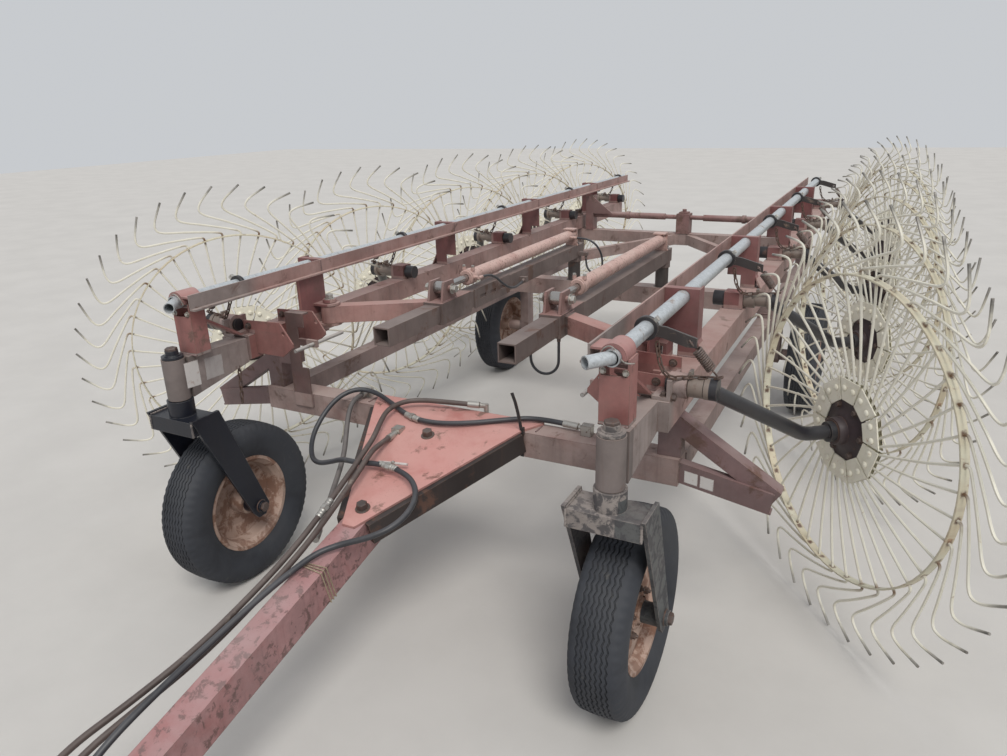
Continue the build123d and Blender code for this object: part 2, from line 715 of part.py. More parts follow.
def wheel_arms():
    """Bent arms from the beam to the rake wheels, each with its pivot tube, bush and spring lug."""
    arms = None
    for index in range(WHEEL_COUNT):
        y = ARM_PIVOT_Y + WHEEL_PITCH * index
        hub = (WHEEL_X, WHEEL_Y + WHEEL_PITCH * index, WHEEL_Z)
        knee = step(hub, axle_dir, -170)
        reach = b_out + 130
        inside = b_out - 30 if index == 0 else b_in - 40
        start = (reach - 38, y, ARM_PIVOT_Z)
        route = FilletPolyline(start, knee, step(hub, axle_dir, 20), radius=110)
        section = Plane(origin=start, z_dir=route % 0) * Circle(SPINDLE_R)
        arm = rod((inside, y, ARM_PIVOT_Z), (reach, y, ARM_PIVOT_Z), SPINDLE_R)
        bush = b_out + 40 + CLEARANCE if index == 0 else b_out - 10 + CLEARANCE
        arm += rod((bush, y, ARM_PIVOT_Z), (bush + 46, y, ARM_PIVOT_Z), 33)
        if index > 0:
            arm += rod((inside, y, ARM_PIVOT_Z), (b_in + 10 - CLEARANCE, y, ARM_PIVOT_Z), 33)
        arm += rod((reach - 40, y, ARM_PIVOT_Z), (reach, y, ARM_PIVOT_Z), 35)
        arm += sweep(section, path=route)
        shoulder = BOSS_LENGTH + SEAT_GAP
        arm += rod(step(hub, axle_dir, -shoulder - 22), step(hub, axle_dir, -shoulder), COLLAR_R)
        lug = box((LEVER_X - 5, LEVER_X + 5), (y - 16, y + 16), (ARM_PIVOT_Z, ARM_PIVOT_Z + 52))
        lug -= rod((LEVER_X - 10, y, ARM_PIVOT_Z + 38), (LEVER_X + 10, y, ARM_PIVOT_Z + 38), 6)
        arm += lug
        arms = arm if arms is None else arms + arm
    return arms


nodes_right = {
    "rake_beam": beam(),
    "lift_pipe": lift_pipe(),
    "wheel_arms": wheel_arms(),
}

# Lift springs between the levers and the lugs on the arms
springs = None
for index in range(WHEEL_COUNT):
    hook = (LEVER_X, RING_Y + WHEEL_PITCH * index + 7, PIPE_Z - 30)
    eye = (LEVER_X, ARM_PIVOT_Y + WHEEL_PITCH * index, ARM_PIVOT_Z + 38)
    spring = rod(hook, eye, 4)
    along = tuple(eye[i] - hook[i] for i in range(3))
    spring += rod(step(hook, along, 0.24), step(hook, along, 0.76), 19)
    springs = spring if springs is None else springs + spring
nodes_right["lift_springs"] = springs - nodes_right["lift_pipe"] - nodes_right["wheel_arms"]


# Swing tube, barrel, slide and rod
def swing_tube():
    """Square tube on its pivot post, with the slotted stop strip and the barrel's foot."""
    rear = SWING_Y + 60
    made = square_tube((SWING_X, SWING_FRONT, SWING_Z), (SWING_X, rear, SWING_Z), SWING_TUBE, SWING_WALL)
    made += rod((SWING_X, SWING_Y, swing_low), (SWING_X, SWING_Y, SWING_Z + SWING_TUBE / 2), 45)
    made -= rod((SWING_X, SWING_Y, 0), (SWING_X, SWING_Y, 2000), SWING_PIN_R + RUN_GAP)
    face = SWING_X - SWING_TUBE / 2
    stop = box((face - 6, face), (1200, 1560), (SWING_Z - 45, SWING_Z + 45))
    for y in (1250, 1350, 1450):
        stop -= box((face - 10, face), (y, y + 60), (SWING_Z - 9, SWING_Z + 9))
    return made + stop


def fold_barrel():
    """Cylinder barrel with its gland and rear clevis ears on the swing tube."""
    end = (SWING_X, BARREL_REAR, BARREL_Z)
    made = rod((SWING_X, BARREL_FRONT, BARREL_Z), end, BARREL_R)
    made += rod((SWING_X, BARREL_FRONT, BARREL_Z), (SWING_X, BARREL_FRONT + 50, BARREL_Z), BARREL_R + 5)
    made -= rod((SWING_X, BARREL_FRONT - 1, BARREL_Z), (SWING_X, BARREL_REAR - 40, BARREL_Z), ROD_R + 1)
    foot_low = SWING_Z + SWING_TUBE / 2
    made += box((SWING_X - 36, SWING_X + 36), (BARREL_REAR - 8, BARREL_REAR + 6), (foot_low, BARREL_Z + 42))
    made += box((SWING_X - 36, SWING_X + 36), (BARREL_REAR - 60, BARREL_REAR + 6), (BARREL_Z + 34, BARREL_Z + 42))
    for x in (SWING_X + 12, SWING_X - 36):
        made += rod((x + 12, BARREL_FRONT + 25, BARREL_Z + 28), (x + 12, BARREL_FRONT + 25, BARREL_Z + 46), 9)
    return made


def slide():
    """Sleeve on the swing tube, its clevis for the rod, and the arm to the beam."""
    made = bar((SWING_X, SLIDE_FRONT, SWING_Z), (SWING_X, SLIDE_FRONT + SLIDE_LENGTH, SWING_Z),
               SLIDE_SIZE, SLIDE_SIZE)
    half_sleeve = SLIDE_SIZE / 2
    arm_start = (SWING_X + half_sleeve - 4, SLIDE_FRONT + 90, SWING_Z)
    made += bar(arm_start, (LINK_X, LINK_Y, SWING_Z), 70, 75)
    made += rod((LINK_X, LINK_Y, SWING_Z - 38), (LINK_X, LINK_Y, SWING_Z + 38), 42)
    bore = SWING_TUBE + 2 * SEAT_GAP
    made -= bar((SWING_X, 0, SWING_Z), (SWING_X, 3000, SWING_Z), bore, bore)
    for x in (SWING_X - 40, SWING_X + 28):
        made += plate_yz(
            [
                (SLIDE_FRONT + 20, SWING_Z + half_sleeve),
                (SLIDE_FRONT + 140, SWING_Z + half_sleeve),
                (SLIDE_FRONT + 120, BARREL_Z + 34),
                (SLIDE_FRONT + 40, BARREL_Z + 34),
            ],
            x,
            12,
        )
    pin_y = SLIDE_FRONT + 80
    made += rod((SWING_X - 56, pin_y, BARREL_Z), (SWING_X - 28, pin_y, BARREL_Z), 14)
    made += rod((SWING_X + 28, pin_y, BARREL_Z), (SWING_X + 56, pin_y, BARREL_Z), 14)
    return made


pin_y = SLIDE_FRONT + 80
ram = rod((SWING_X, pin_y + 20, BARREL_Z), (SWING_X, BARREL_REAR - 60, BARREL_Z), ROD_R)
ram += rod((SWING_X - 28, pin_y, BARREL_Z), (SWING_X + 28, pin_y, BARREL_Z), 28)
link_pin = rod((LINK_X, LINK_Y, SWING_Z + 38 + 12 + CLEARANCE), (LINK_X, LINK_Y, SWING_Z + 66), 30)
nodes_right["swing_tube"] = swing_tube()
nodes_right["fold_barrel"] = fold_barrel()
nodes_right["slide"] = slide()
nodes_right["fold_rod"] = ram
nodes_right["rake_beam"] += link_pin + rod((LINK_X, LINK_Y, SWING_Z + 45), (LINK_X, LINK_Y, SWING_Z + 66), 20)


# Front casters
def caster_fork():
    """Kingpin, bridge and two flat blades, with the stub axle of the tyre."""
    fork = rod((CASTER_X, 0, BRIDGE_TOP), (CASTER_X, 0, SLEEVE_LOW - CLEARANCE), 49)
    fork += rod((CASTER_X, 0, BRIDGE_TOP), (CASTER_X, 0, SLEEVE_TOP + 15), KINGPIN_R)
    fork += rod((CASTER_X, 0, SLEEVE_TOP + CLEARANCE), (CASTER_X, 0, SLEEVE_TOP + 12), 40)
    fork += rod((CASTER_X, 0, SLEEVE_TOP + 12), (CASTER_X, 0, SLEEVE_TOP + 32), 24)
    fork += box((CASTER_X - 112, CASTER_X + 112), (-60, 60), (BRIDGE_LOW, BRIDGE_TOP))
    outline = [
        (-66, BRIDGE_TOP + 10),
        (66, BRIDGE_TOP + 10),
        (CASTER_TRAIL + 46, TYRE_R - 4),
        (CASTER_TRAIL + 20, TYRE_R - 46),
        (CASTER_TRAIL - 20, TYRE_R - 46),
        (CASTER_TRAIL - 46, TYRE_R - 14),
    ]
    for x in (-FORK_X - FORK_T / 2, FORK_X - FORK_T / 2):
        fork += plate_yz(outline, CASTER_X + x, FORK_T)
    axle = (CASTER_X, CASTER_TRAIL, TYRE_R)
    across = (1, 0, 0)
    for start, end in ((-FORK_X, -HUB_IN - SEAT_GAP), (HUB_OUT + SEAT_GAP, FORK_X)):
        fork += rod(step(axle, across, start), step(axle, across, end), COLLAR_R)
    fork += rod(step(axle, across, -FORK_X - 20), step(axle, across, FORK_X + 20), SPINDLE_R)
    return fork


tyre = tyre_body()
rim = rim_body(SPINDLE_R + RUN_GAP)
nodes_right["caster_fork"] = caster_fork()
nodes_right["caster_tyre"] = Pos(CASTER_X, CASTER_TRAIL, TYRE_R) * tyre
nodes_right["caster_rim"] = Pos(CASTER_X, CASTER_TRAIL, TYRE_R) * rim
nodes_right["main_tyre"] = Pos(TRACK_X, MAIN_Y, TYRE_R) * tyre
nodes_right["main_rim"] = Pos(TRACK_X, MAIN_Y, TYRE_R) * rim

for name, shape in nodes_right.items():
    nodes[name + "_right"] = shape
    nodes[name + "_left"] = flip(shape)


# Hoses and what they screw into
def supply_fittings():
    """Ports on the cross tube, the cover plate and the tongue, each with its crimped sleeve."""
    sleeve = ferrule(BLACK_ROUTE, FERRULE_R, FERRULE_LENGTH)
    made = sleeve + rod((520, 596, 773), (560, 585, 773), 9)
    made += box((550, 590), (566, 602), (top, 790))
    made += ferrule(OUTER_ROUTE, FERRULE_R, 48)
    made += rod((104, 603, 787), (126, 622, 780), 10)
    made += rod((126, 622, 788), (126, 622, 715), 10)
    made += box((108, 144), (cross_rear, 645), (670, 716))
    made += ferrule(INNER_ROUTE, FERRULE_R, FERRULE_LENGTH)
    port = box((-150, -112), (356, 396), (700, 742))
    made += port - box((-400, 400), (0, 700), (0, 700)) - nodes["cover_plate"]
    made += ferrule(GREY_ROUTE, FERRULE_R, 34) + box((-448, -412), (574, 604), (top, 786))
    made += ferrule(GREY_ROUTE[::-1], FERRULE_R, 50)
    return made - nodes["cover_plate"] - nodes["main_frame"]


def couplers():
    """Quick couplers on the free ends of the three supply hoses."""
    made = None
    for route in (BLACK_ROUTE, OUTER_ROUTE, INNER_ROUTE):
        x, y, z = route[-1]
        piece = ferrule(route[::-1], FERRULE_R, 40)
        piece += rod((x - 4, y - 36, z), (x - 8, y - 76, z), 14)
        made = piece if made is None else made + piece
    return made


def line_ports():
    """Ports of the cylinder lines, each fused to the piece that it screws into."""
    barrel_side = BARREL_R - SWING_X
    tube_side = SWING_TUBE / 2 - SWING_X
    x, y, z = FRONT_LINE[0]
    gland = ferrule(FRONT_LINE, LINE_FERRULE_R, 34) + rod((barrel_side - 6, y - 24, z), (x, y - 24, z), 9)
    rear = ferrule(REAR_LINE, LINE_FERRULE_R, abs(barrel_side - REAR_LINE[0][0]) + 6)
    nodes["fold_barrel_left"] += gland + rear
    x, y, z = FRONT_LINE[-1]
    stop_end = ferrule(FRONT_LINE[::-1], LINE_FERRULE_R, 30)
    stop_end += box((tube_side, x + 12), (y + 24, y + 50), (z - 10, z + 18))
    x, y, z = REAR_LINE[-1]
    boss_end = ferrule(REAR_LINE[::-1], LINE_FERRULE_R, 30)
    boss_end += box((tube_side, x + 11), (y - 12, y + 12), (z + 20, z + 42))
    nodes["swing_tube_left"] += stop_end + boss_end
    x, y, z = SLIDE_LINE[0]
    sleeve_side = SWING_X - SLIDE_SIZE / 2
    loop_ends = ferrule(SLIDE_LINE, LINE_FERRULE_R, 30) + box((x - 10, sleeve_side), (y - 12, y + 12), (z + 20, z + 42))
    loop_ends += ferrule(SLIDE_LINE[::-1], LINE_FERRULE_R, SWING_Z - SLIDE_SIZE / 2 - SLIDE_LINE[-1][2] + 1)
    nodes["slide_right"] += loop_ends


line_ports()
nodes["hose_fittings"] = supply_fittings()
nodes["hose_couplers"] = couplers()
nodes["hose_supply_black"] = hose(BLACK_ROUTE, SUPPLY_R)
nodes["hose_supply_outer"] = hose(OUTER_ROUTE, SUPPLY_R)
nodes["hose_supply_inner"] = hose(INNER_ROUTE, SUPPLY_R)
nodes["hose_supply_grey"] = hose(GREY_ROUTE, SUPPLY_R)
nodes["hose_line_front"] = hose(FRONT_LINE, LINE_R)
nodes["hose_line_rear"] = hose(REAR_LINE, LINE_R)
nodes["hose_line_slide"] = hose(SLIDE_LINE, LINE_R)

wheel = rake_wheel()
for index in range(WHEEL_COUNT):
    placed = place_wheel(wheel, index)
    nodes["rake_wheel_right_" + str(index + 1)] = placed
    nodes["rake_wheel_left_" + str(index + 1)] = flip(placed)

boxes = [shape.bounding_box() for shape in nodes.values()]
middle = (min(b.min.Y for b in boxes) + max(b.max.Y for b in boxes)) / 2
for name, shape in nodes.items():
    export_step(Pos(0, -middle, 0) * shape, "parts/" + name + ".step")
print(len(nodes), "nodes")
print("shift", round(-middle, 4))
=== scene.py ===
"""Wheel rake folded for transport: finishes, tine wheels, tyres, springs, chains, hoses and small gear.

All sizes are metres. X runs across, Y from the hitch to the rear and Z up, with the ground at 0.
Places are written from the line of the caster swivels, and Site moves them into the shared frame.
"""

import json
import logging
import math
from dataclasses import dataclass
from enum import Enum
from typing import Iterable, Sequence

import bmesh
import bpy
from mathutils import Matrix, Vector, noise

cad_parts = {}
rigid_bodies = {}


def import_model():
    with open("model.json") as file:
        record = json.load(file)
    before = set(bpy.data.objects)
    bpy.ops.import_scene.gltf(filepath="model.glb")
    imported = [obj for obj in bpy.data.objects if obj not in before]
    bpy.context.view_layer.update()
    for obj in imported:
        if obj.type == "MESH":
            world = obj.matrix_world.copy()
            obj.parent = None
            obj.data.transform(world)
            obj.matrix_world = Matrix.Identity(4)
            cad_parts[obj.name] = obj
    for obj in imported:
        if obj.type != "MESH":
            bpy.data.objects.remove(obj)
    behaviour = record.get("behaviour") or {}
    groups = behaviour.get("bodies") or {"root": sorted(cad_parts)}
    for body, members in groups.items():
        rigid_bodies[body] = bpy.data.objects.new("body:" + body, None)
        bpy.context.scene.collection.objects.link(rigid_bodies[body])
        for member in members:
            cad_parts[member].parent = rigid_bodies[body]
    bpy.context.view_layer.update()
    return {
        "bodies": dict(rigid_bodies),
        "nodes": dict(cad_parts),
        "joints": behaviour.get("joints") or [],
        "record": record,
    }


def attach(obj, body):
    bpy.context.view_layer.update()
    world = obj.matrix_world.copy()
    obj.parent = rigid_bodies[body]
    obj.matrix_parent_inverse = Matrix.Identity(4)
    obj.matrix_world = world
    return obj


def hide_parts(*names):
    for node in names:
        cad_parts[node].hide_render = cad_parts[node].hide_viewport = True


logging.basicConfig(level=logging.INFO, format="%(message)s")
log = logging.getLogger("rake")

Point = tuple[float, float, float]
IMAGE_WIDTH = 1007
HINGE_Y = 4.120
PIPE_AXIS = (0.848, 1.252)
LEVER_X = 0.985
SWING_X = 0.280
SWING_TOP = 1.0885
TONGUE_SLOPE = 0.23504
WHEEL_PITCH = 1.16
WHEEL_COUNT = 5
TINE_COUNT = 40
BAND_RADIUS = 0.549
TINE_HEIGHT = 0.008
HOLE_ANGLE = 21.7
RING_Y = 0.345
ARM_PIVOT_Y = 0.380
NARROW_WELD_RADIUS = 0.003
WELD_RADIUS = 0.0035
WIDE_WELD_RADIUS = 0.004
UP = Vector((0, 0, 1))
DOWN = Vector((0, 0, -1))
ACROSS = Vector((1, 0, 0))
FORWARD = Vector((0, -1, 0))
REARWARD = Vector((0, 1, 0))


class Side(Enum):
    """The two sides of the rake, with the sign of X."""

    RIGHT = 1
    LEFT = -1

    @property
    def label(self) -> str:
        """Name that ends the nodes and bodies of this side."""
        return self.name.lower()


class Site:
    """Moves places from the swivels' line into the shared frame.
    """

    def __init__(self, frame: dict) -> None:
        """Reads the shift from the frame's own hinge."""
        hinge = next(joint for joint in frame["joints"] if joint["name"] == "beam_fold_right")
        self.shift = hinge["pos_m"][1] - HINGE_Y
        log.info("site: shift %.4f", self.shift)

    def at(self, point: Sequence[float], side: Side = Side.RIGHT) -> Vector:
        """Place in the shared frame.

        Args:
            point: Right-hand place, Y from the swivels' line.
            side: Side that it is wanted on.
        Returns:
            The place as a vector.
        """
        return Vector((point[0] * side.value, point[1] + self.shift, point[2]))


# Node graphs


class Graph:
    """Adds nodes to a tree and links them.

    Args:
        tree: The node tree to fill.
    """

    def __init__(self, tree: bpy.types.NodeTree) -> None:
        """Keeps the tree."""
        self.tree = tree

    def add(self, kind: str, sockets: dict | None = None, **settings: object) -> bpy.types.Node:
        """New node.

        Args:
            kind: Node type.
            sockets: Values or output sockets for its inputs, by name or index.
            settings: Attributes of the node.
        Returns:
            The node.
        """
        node = self.tree.nodes.new(kind)
        for key, value in settings.items():
            setattr(node, key, value)
        for key, value in (sockets or {}).items():
            if isinstance(value, bpy.types.NodeSocket):
                self.tree.links.new(value, node.inputs[key])
            else:
                node.inputs[key].default_value = value
        return node

    def math(self, operation: str, first: object, second: object = 0.0,
             clamp: bool = False) -> bpy.types.NodeSocket:
        """Result of a Math node.

        Args:
            operation: Its operation.
            first: First value or socket.
            second: Second value or socket.
            clamp: Whether the result stays from 0 to 1.
        Returns:
            The output socket.
        """
        return self.add("ShaderNodeMath", {0: first, 1: second}, operation=operation,
                        use_clamp=clamp).outputs[0]

    def mix(self, factor: object, first: object, second: object) -> bpy.types.NodeSocket:
        """Two colours mixed.

        Args:
            factor: Share of the second.
            first: First colour.
            second: Second colour.
        Returns:
            The colour socket.
        """
        return self.add("ShaderNodeMix", {0: factor, 6: first, 7: second}, data_type="RGBA").outputs[2]

    def group(self, tree: bpy.types.NodeTree, **values: object) -> bpy.types.NodeSocket:
        """Output of a group node, with these values on its inputs."""
        return self.add("ShaderNodeGroup", values, node_tree=tree).outputs[0]

    def give(self, result: bpy.types.NodeSocket) -> bpy.types.NodeTree:
        """Puts a group's result out and returns the group."""
        self.add("NodeGroupOutput", {0: result})
        return self.tree

    def plus(self, first: object, second: object, clamp: bool = False) -> bpy.types.NodeSocket:
        """Sum of two values."""
        return self.math("ADD", first, second, clamp)

    def minus(self, first: object, second: object, clamp: bool = False) -> bpy.types.NodeSocket:
        """First value less the second."""
        return self.math("SUBTRACT", first, second, clamp)

    def times(self, first: object, second: object, clamp: bool = False) -> bpy.types.NodeSocket:
        """Product of two values."""
        return self.math("MULTIPLY", first, second, clamp)

    def place(self) -> bpy.types.NodeSocket:
        """Place of the surface in the object's own axes."""
        return self.add("ShaderNodeTexCoord").outputs["Object"]

    def facing(self) -> bpy.types.NodeSocket:
        """Surface normal."""
        return self.add("ShaderNodeNewGeometry").outputs["Normal"]

    def axes(self, vector: bpy.types.NodeSocket) -> Sequence[bpy.types.NodeSocket]:
        """X, Y and Z of a vector."""
        return self.add("ShaderNodeSeparateXYZ", {0: vector}).outputs

    def noise(self, place: bpy.types.NodeSocket, scale: object, detail: float, roughness: float = 0.5,
              distortion: float = 0.0) -> bpy.types.NodeSocket:
        """Cloudy noise.

        Args:
            place: Where it is read.
            scale: Its scale, as a value or a socket.
            detail: Octaves.
            roughness: Weight of the fine octaves.
            distortion: How much it is stirred.
        Returns:
            A value from 0 to 1.
        """
        values = {"Vector": place, "Scale": scale, "Detail": detail, "Roughness": roughness,
                  "Distortion": distortion}
        return self.add("ShaderNodeTexNoise", values).outputs[0]

    def span(self, value: object, low: object, high: object) -> bpy.types.NodeSocket:
        """Value mapped from a span to 0 to 1, with soft ends.

        Args:
            value: Socket to map.
            low: Value that gives 0.
            high: Value that gives 1.
        Returns:
            The mapped socket.
        """
        return self.add("ShaderNodeMapRange", {0: value, 1: low, 2: high},
                        interpolation_type="SMOOTHSTEP").outputs[0]


def rgba(colour: Sequence[float]) -> tuple[float, float, float, float]:
    """Colour with full alpha."""
    return (colour[0], colour[1], colour[2], 1.0)


class Effects:
    """Shared shader node groups: each puts out a mask, a value or a normal."""

    def __init__(self) -> None:
        """Builds the seven groups."""
        self.blotch = self._blotch()
        self.edge = self._edge()
        self.dust = self._dust()
        self.streak = self._streak()
        self.chips = self._chips()
        self.relief = self._relief()
        self.side_darkening = self._side_darkening()
        log.info("effects: %d node groups", len(vars(self)))

    def _new(self, name: str, inputs: dict[str, float], output: str,
             vector: bool = False) -> tuple[Graph, Sequence[bpy.types.NodeSocket]]:
        """Empty group with its sockets.

        Args:
            name: Name of the group.
            inputs: Default of each float input.
            output: Name of its one output.
            vector: Whether the output is a vector.
        Returns:
            The graph and its input sockets.
        """
        tree = bpy.data.node_groups.new(name, "ShaderNodeTree")
        for label, value in inputs.items():
            socket = tree.interface.new_socket(name=label, in_out="INPUT", socket_type="NodeSocketFloat")
            socket.default_value = value
        kind = "NodeSocketVector" if vector else "NodeSocketFloat"
        tree.interface.new_socket(name=output, in_out="OUTPUT", socket_type=kind)
        graph = Graph(tree)
        return graph, graph.add("NodeGroupInput").outputs

    def _blotch(self) -> bpy.types.NodeTree:
        """Irregular patches: rust, faded paint, stains.

        Returns:
            The group.
        """
        inputs = {"Scale": 6.0, "Cover": 0.3, "Soft": 0.08, "Seed": 0.0}
        graph, given = self._new("fx_blotch", inputs, "Mask")
        shift = graph.add("ShaderNodeCombineXYZ", {0: given["Seed"], 1: given["Seed"]}).outputs[0]
        moved = graph.add("ShaderNodeVectorMath", {0: graph.place(), 1: shift}, operation="ADD").outputs[0]
        coarse = graph.noise(moved, given["Scale"], 9.0, 0.66, 0.4)
        level = graph.minus(0.72, graph.times(given["Cover"], 0.42))
        low = graph.minus(level, given["Soft"])
        high = graph.plus(level, given["Soft"])
        return graph.give(graph.span(coarse, low, high))

    def _edge(self) -> bpy.types.NodeTree:
        """Worn outer edges, broken up by noise.

        Returns:
            The group.
        """
        graph, given = self._new("fx_edge", {"Radius": 0.004, "Gain": 5.0, "Scale": 30.0}, "Mask")
        rounded = graph.add("ShaderNodeBevel", {"Radius": given["Radius"]}, samples=4).outputs[0]
        faces = {0: rounded, 1: graph.facing()}
        dot = graph.add("ShaderNodeVectorMath", faces, operation="DOT_PRODUCT").outputs["Value"]
        bend = graph.times(graph.minus(1.0, dot), given["Gain"], clamp=True)
        broken = graph.noise(graph.place(), given["Scale"], 6.0, 0.7)
        return graph.give(graph.times(bend, graph.span(broken, 0.36, 0.56), clamp=True))

    def _dust(self) -> bpy.types.NodeTree:
        """Dust that settles on what faces up.

        Returns:
            The group.
        """
        graph, given = self._new("fx_dust", {"Amount": 0.5, "Scale": 4.0}, "Mask")
        up = graph.axes(graph.facing())[2]
        cloud = graph.noise(graph.place(), given["Scale"], 8.0, 0.62)
        lying = graph.plus(graph.times(graph.span(up, 0.1, 0.95), 0.75), 0.25)
        return graph.give(graph.times(graph.times(lying, graph.span(cloud, 0.28, 0.7)), given["Amount"],
                                      clamp=True))

    def _side_darkening(self) -> bpy.types.NodeTree:
        """Darkening on what faces sideways or down, in patches.

        Returns:
            The group.
        """
        graph, given = self._new("fx_grime", {"Amount": 0.4, "Scale": 5.0}, "Mask")
        up = graph.axes(graph.facing())[2]
        hanging = graph.minus(1.0, graph.span(up, -0.1, 0.75))
        cloud = graph.noise(graph.place(), given["Scale"], 9.0, 0.7)
        spread = graph.plus(graph.times(graph.span(cloud, 0.38, 0.62), 0.6), 0.4)
        return graph.give(graph.times(graph.times(hanging, spread), given["Amount"], clamp=True))

    def _streak(self) -> bpy.types.NodeTree:
        """Run-off streaks down upright faces.

        Returns:
            The group.
        """
        graph, given = self._new("fx_streak", {"Scale": 40.0, "Amount": 0.3}, "Mask")
        stretch = {0: graph.place(), 1: (1.0, 1.0, 0.07)}
        drawn = graph.add("ShaderNodeVectorMath", stretch, operation="MULTIPLY").outputs[0]
        lines = graph.noise(drawn, given["Scale"], 4.0, 0.6)
        up = graph.math("ABSOLUTE", graph.axes(graph.facing())[2])
        upright = graph.minus(1.0, up, clamp=True)
        return graph.give(graph.times(graph.times(graph.span(lines, 0.5, 0.72), upright), given["Amount"],
                                      clamp=True))

    def _chips(self) -> bpy.types.NodeTree:
        """Small chips and pits.

        Returns:
            The group.
        """
        graph, given = self._new("fx_chips", {"Scale": 160.0, "Size": 0.16}, "Mask")
        place = graph.place()
        spread = {"Vector": place, "Scale": given["Scale"], "Randomness": 1.0}
        cells = graph.add("ShaderNodeTexVoronoi", spread, feature="F1").outputs["Distance"]
        far = graph.add("ShaderNodeMapRange", {0: cells, 1: 0.0, 2: given["Size"]}).outputs[0]
        near = graph.minus(1.0, far)
        where = graph.noise(place, 14.0, 3.0)
        return graph.give(graph.times(near, graph.span(where, 0.5, 0.62), clamp=True))

    def _relief(self) -> bpy.types.NodeTree:
        """Surface normal: softened edges, orange peel or grain, and the height of a mask.

        Returns:
            The group.
        """
        inputs = {"Grain": 220.0, "Depth": 0.15, "Mask": 0.0, "Step": 0.3, "Round": 0.002}
        graph, given = self._new("fx_relief", inputs, "Normal", vector=True)
        soft = graph.add("ShaderNodeBevel", {"Radius": given["Round"]}, samples=4).outputs[0]
        grain = graph.noise(graph.place(), given["Grain"], 5.0, 0.6)
        fine = {"Strength": given["Depth"], "Distance": 0.001, "Height": grain, "Normal": soft}
        first = graph.add("ShaderNodeBump", fine).outputs[0]
        coarse = {"Strength": given["Step"], "Distance": 0.0008, "Height": given["Mask"], "Normal": first}
        return graph.give(graph.add("ShaderNodeBump", coarse).outputs[0])


# Finishes

# Dark tone laid on what faces sideways or down.
SIDE_DARK_TONE = (0.048, 0.038, 0.035)


@dataclass(frozen=True)
class Finish:
    """A weathered surface.

    Colours are linear. Cover values run from 0 to about 1.
    """

    name: str
    tone: Point
    faded: Point
    fade_scale: float = 2.2
    fade_cover: float = 0.8
    rust: Point = (0.095, 0.045, 0.03)
    rust_cover: float = 0.2
    rust_scale: float = 9.0
    wear: Point = (0.16, 0.09, 0.06)
    wear_gain: float = 5.0
    dust: Point = (0.44, 0.395, 0.37)
    dust_amount: float = 0.2
    streaks: float = 0.25
    side_darkening: float = 0.5
    chips: float = 0.16
    roughness: float = 0.6
    metallic: float = 0.0
    grain: float = 240.0
    depth: float = 0.15
    round_edge: float = 0.0022
    seed: float = 0.0


RED_FRAME = Finish(
    "red_frame_paint", (0.28, 0.15, 0.132), (0.41, 0.30, 0.275), rust_cover=0.25, dust=(0.5, 0.42, 0.385),
    dust_amount=0.5, side_darkening=0.45)
RED_BEAM = Finish(
    "red_beam_paint", (0.32, 0.155, 0.135), (0.44, 0.28, 0.255), rust_cover=0.22, dust=(0.5, 0.41, 0.375),
    dust_amount=0.5, side_darkening=0.42, seed=3.0)
RED_TOWER = Finish(
    "red_tower_paint", (0.2, 0.07, 0.07), (0.3, 0.16, 0.15), rust_cover=0.3, dust_amount=0.45, seed=4.0)
RED_DARK = Finish(
    "red_dark_paint", (0.15, 0.06, 0.065), (0.24, 0.15, 0.15), rust_cover=0.3, dust_amount=0.35, seed=5.0)
# Near-black copy of the red paint: painted shade on the A-frame channels, whose outer webs lie in shadow.
RED_CHANNEL_SHADE = Finish(
    "red_channel_paint", (0.018, 0.013, 0.013), (0.036, 0.027, 0.026), rust_cover=0.3, dust_amount=0.07,
    side_darkening=0.2, seed=6.0)
RED_PLATE = Finish(
    "red_plate_paint", (0.46, 0.135, 0.115), (0.62, 0.31, 0.28), fade_scale=5.0, rust_cover=0.28,
    wear=(0.2, 0.09, 0.07), dust=(0.66, 0.48, 0.43), dust_amount=0.24, chips=0.2, roughness=0.5, seed=7.0)
RED_TONGUE = Finish(
    "red_tongue_paint", (0.33, 0.105, 0.100), (0.44, 0.235, 0.235), fade_scale=6.0,
    rust=(0.105, 0.055, 0.05), rust_cover=0.36, rust_scale=30.0, dust=(0.45, 0.365, 0.36),
    dust_amount=0.42, side_darkening=0.4, chips=0.2, seed=9.0)
RED_BARREL = Finish(
    "red_barrel_paint", (0.46, 0.255, 0.222), (0.62, 0.42, 0.375), fade_scale=9.0,
    rust=(0.15, 0.085, 0.066), rust_cover=0.32, rust_scale=75.0, roughness=0.5, dust=(0.62, 0.48, 0.42),
    dust_amount=0.5, side_darkening=0.4, seed=11.0)
RED_SWING = Finish(
    "red_swing_paint", (0.105, 0.072, 0.066), (0.19, 0.145, 0.135), rust_cover=0.25,
    dust=(0.36, 0.305, 0.28), dust_amount=0.45, seed=12.0)
BLACK_CLEAN = Finish(
    "black_fork_paint", (0.004, 0.005, 0.010), (0.010, 0.012, 0.020), rust_cover=0.06,
    wear=(0.1, 0.1, 0.1), dust=(0.16, 0.17, 0.2), dust_amount=0.1, streaks=0.04, side_darkening=0.0, roughness=0.32)
BLACK_WORN = Finish(
    "black_worn_paint", (0.19, 0.165, 0.15), (0.30, 0.265, 0.245), fade_scale=6.0,
    rust=(0.018, 0.02, 0.026), rust_cover=0.5, rust_scale=26.0, wear=(0.3, 0.26, 0.24),
    dust=(0.40, 0.345, 0.32), dust_amount=0.45, streaks=0.1, side_darkening=0.25, chips=0.24, roughness=0.55,
    seed=2.0)
BLACK_ARM = Finish(
    "black_arm_paint", (0.008, 0.008, 0.011), (0.022, 0.022, 0.027), rust_cover=0.14,
    wear=(0.16, 0.13, 0.11), dust=(0.2, 0.2, 0.21), dust_amount=0.16, streaks=0.06, side_darkening=0.2, chips=0.1,
    roughness=0.33, seed=4.0)
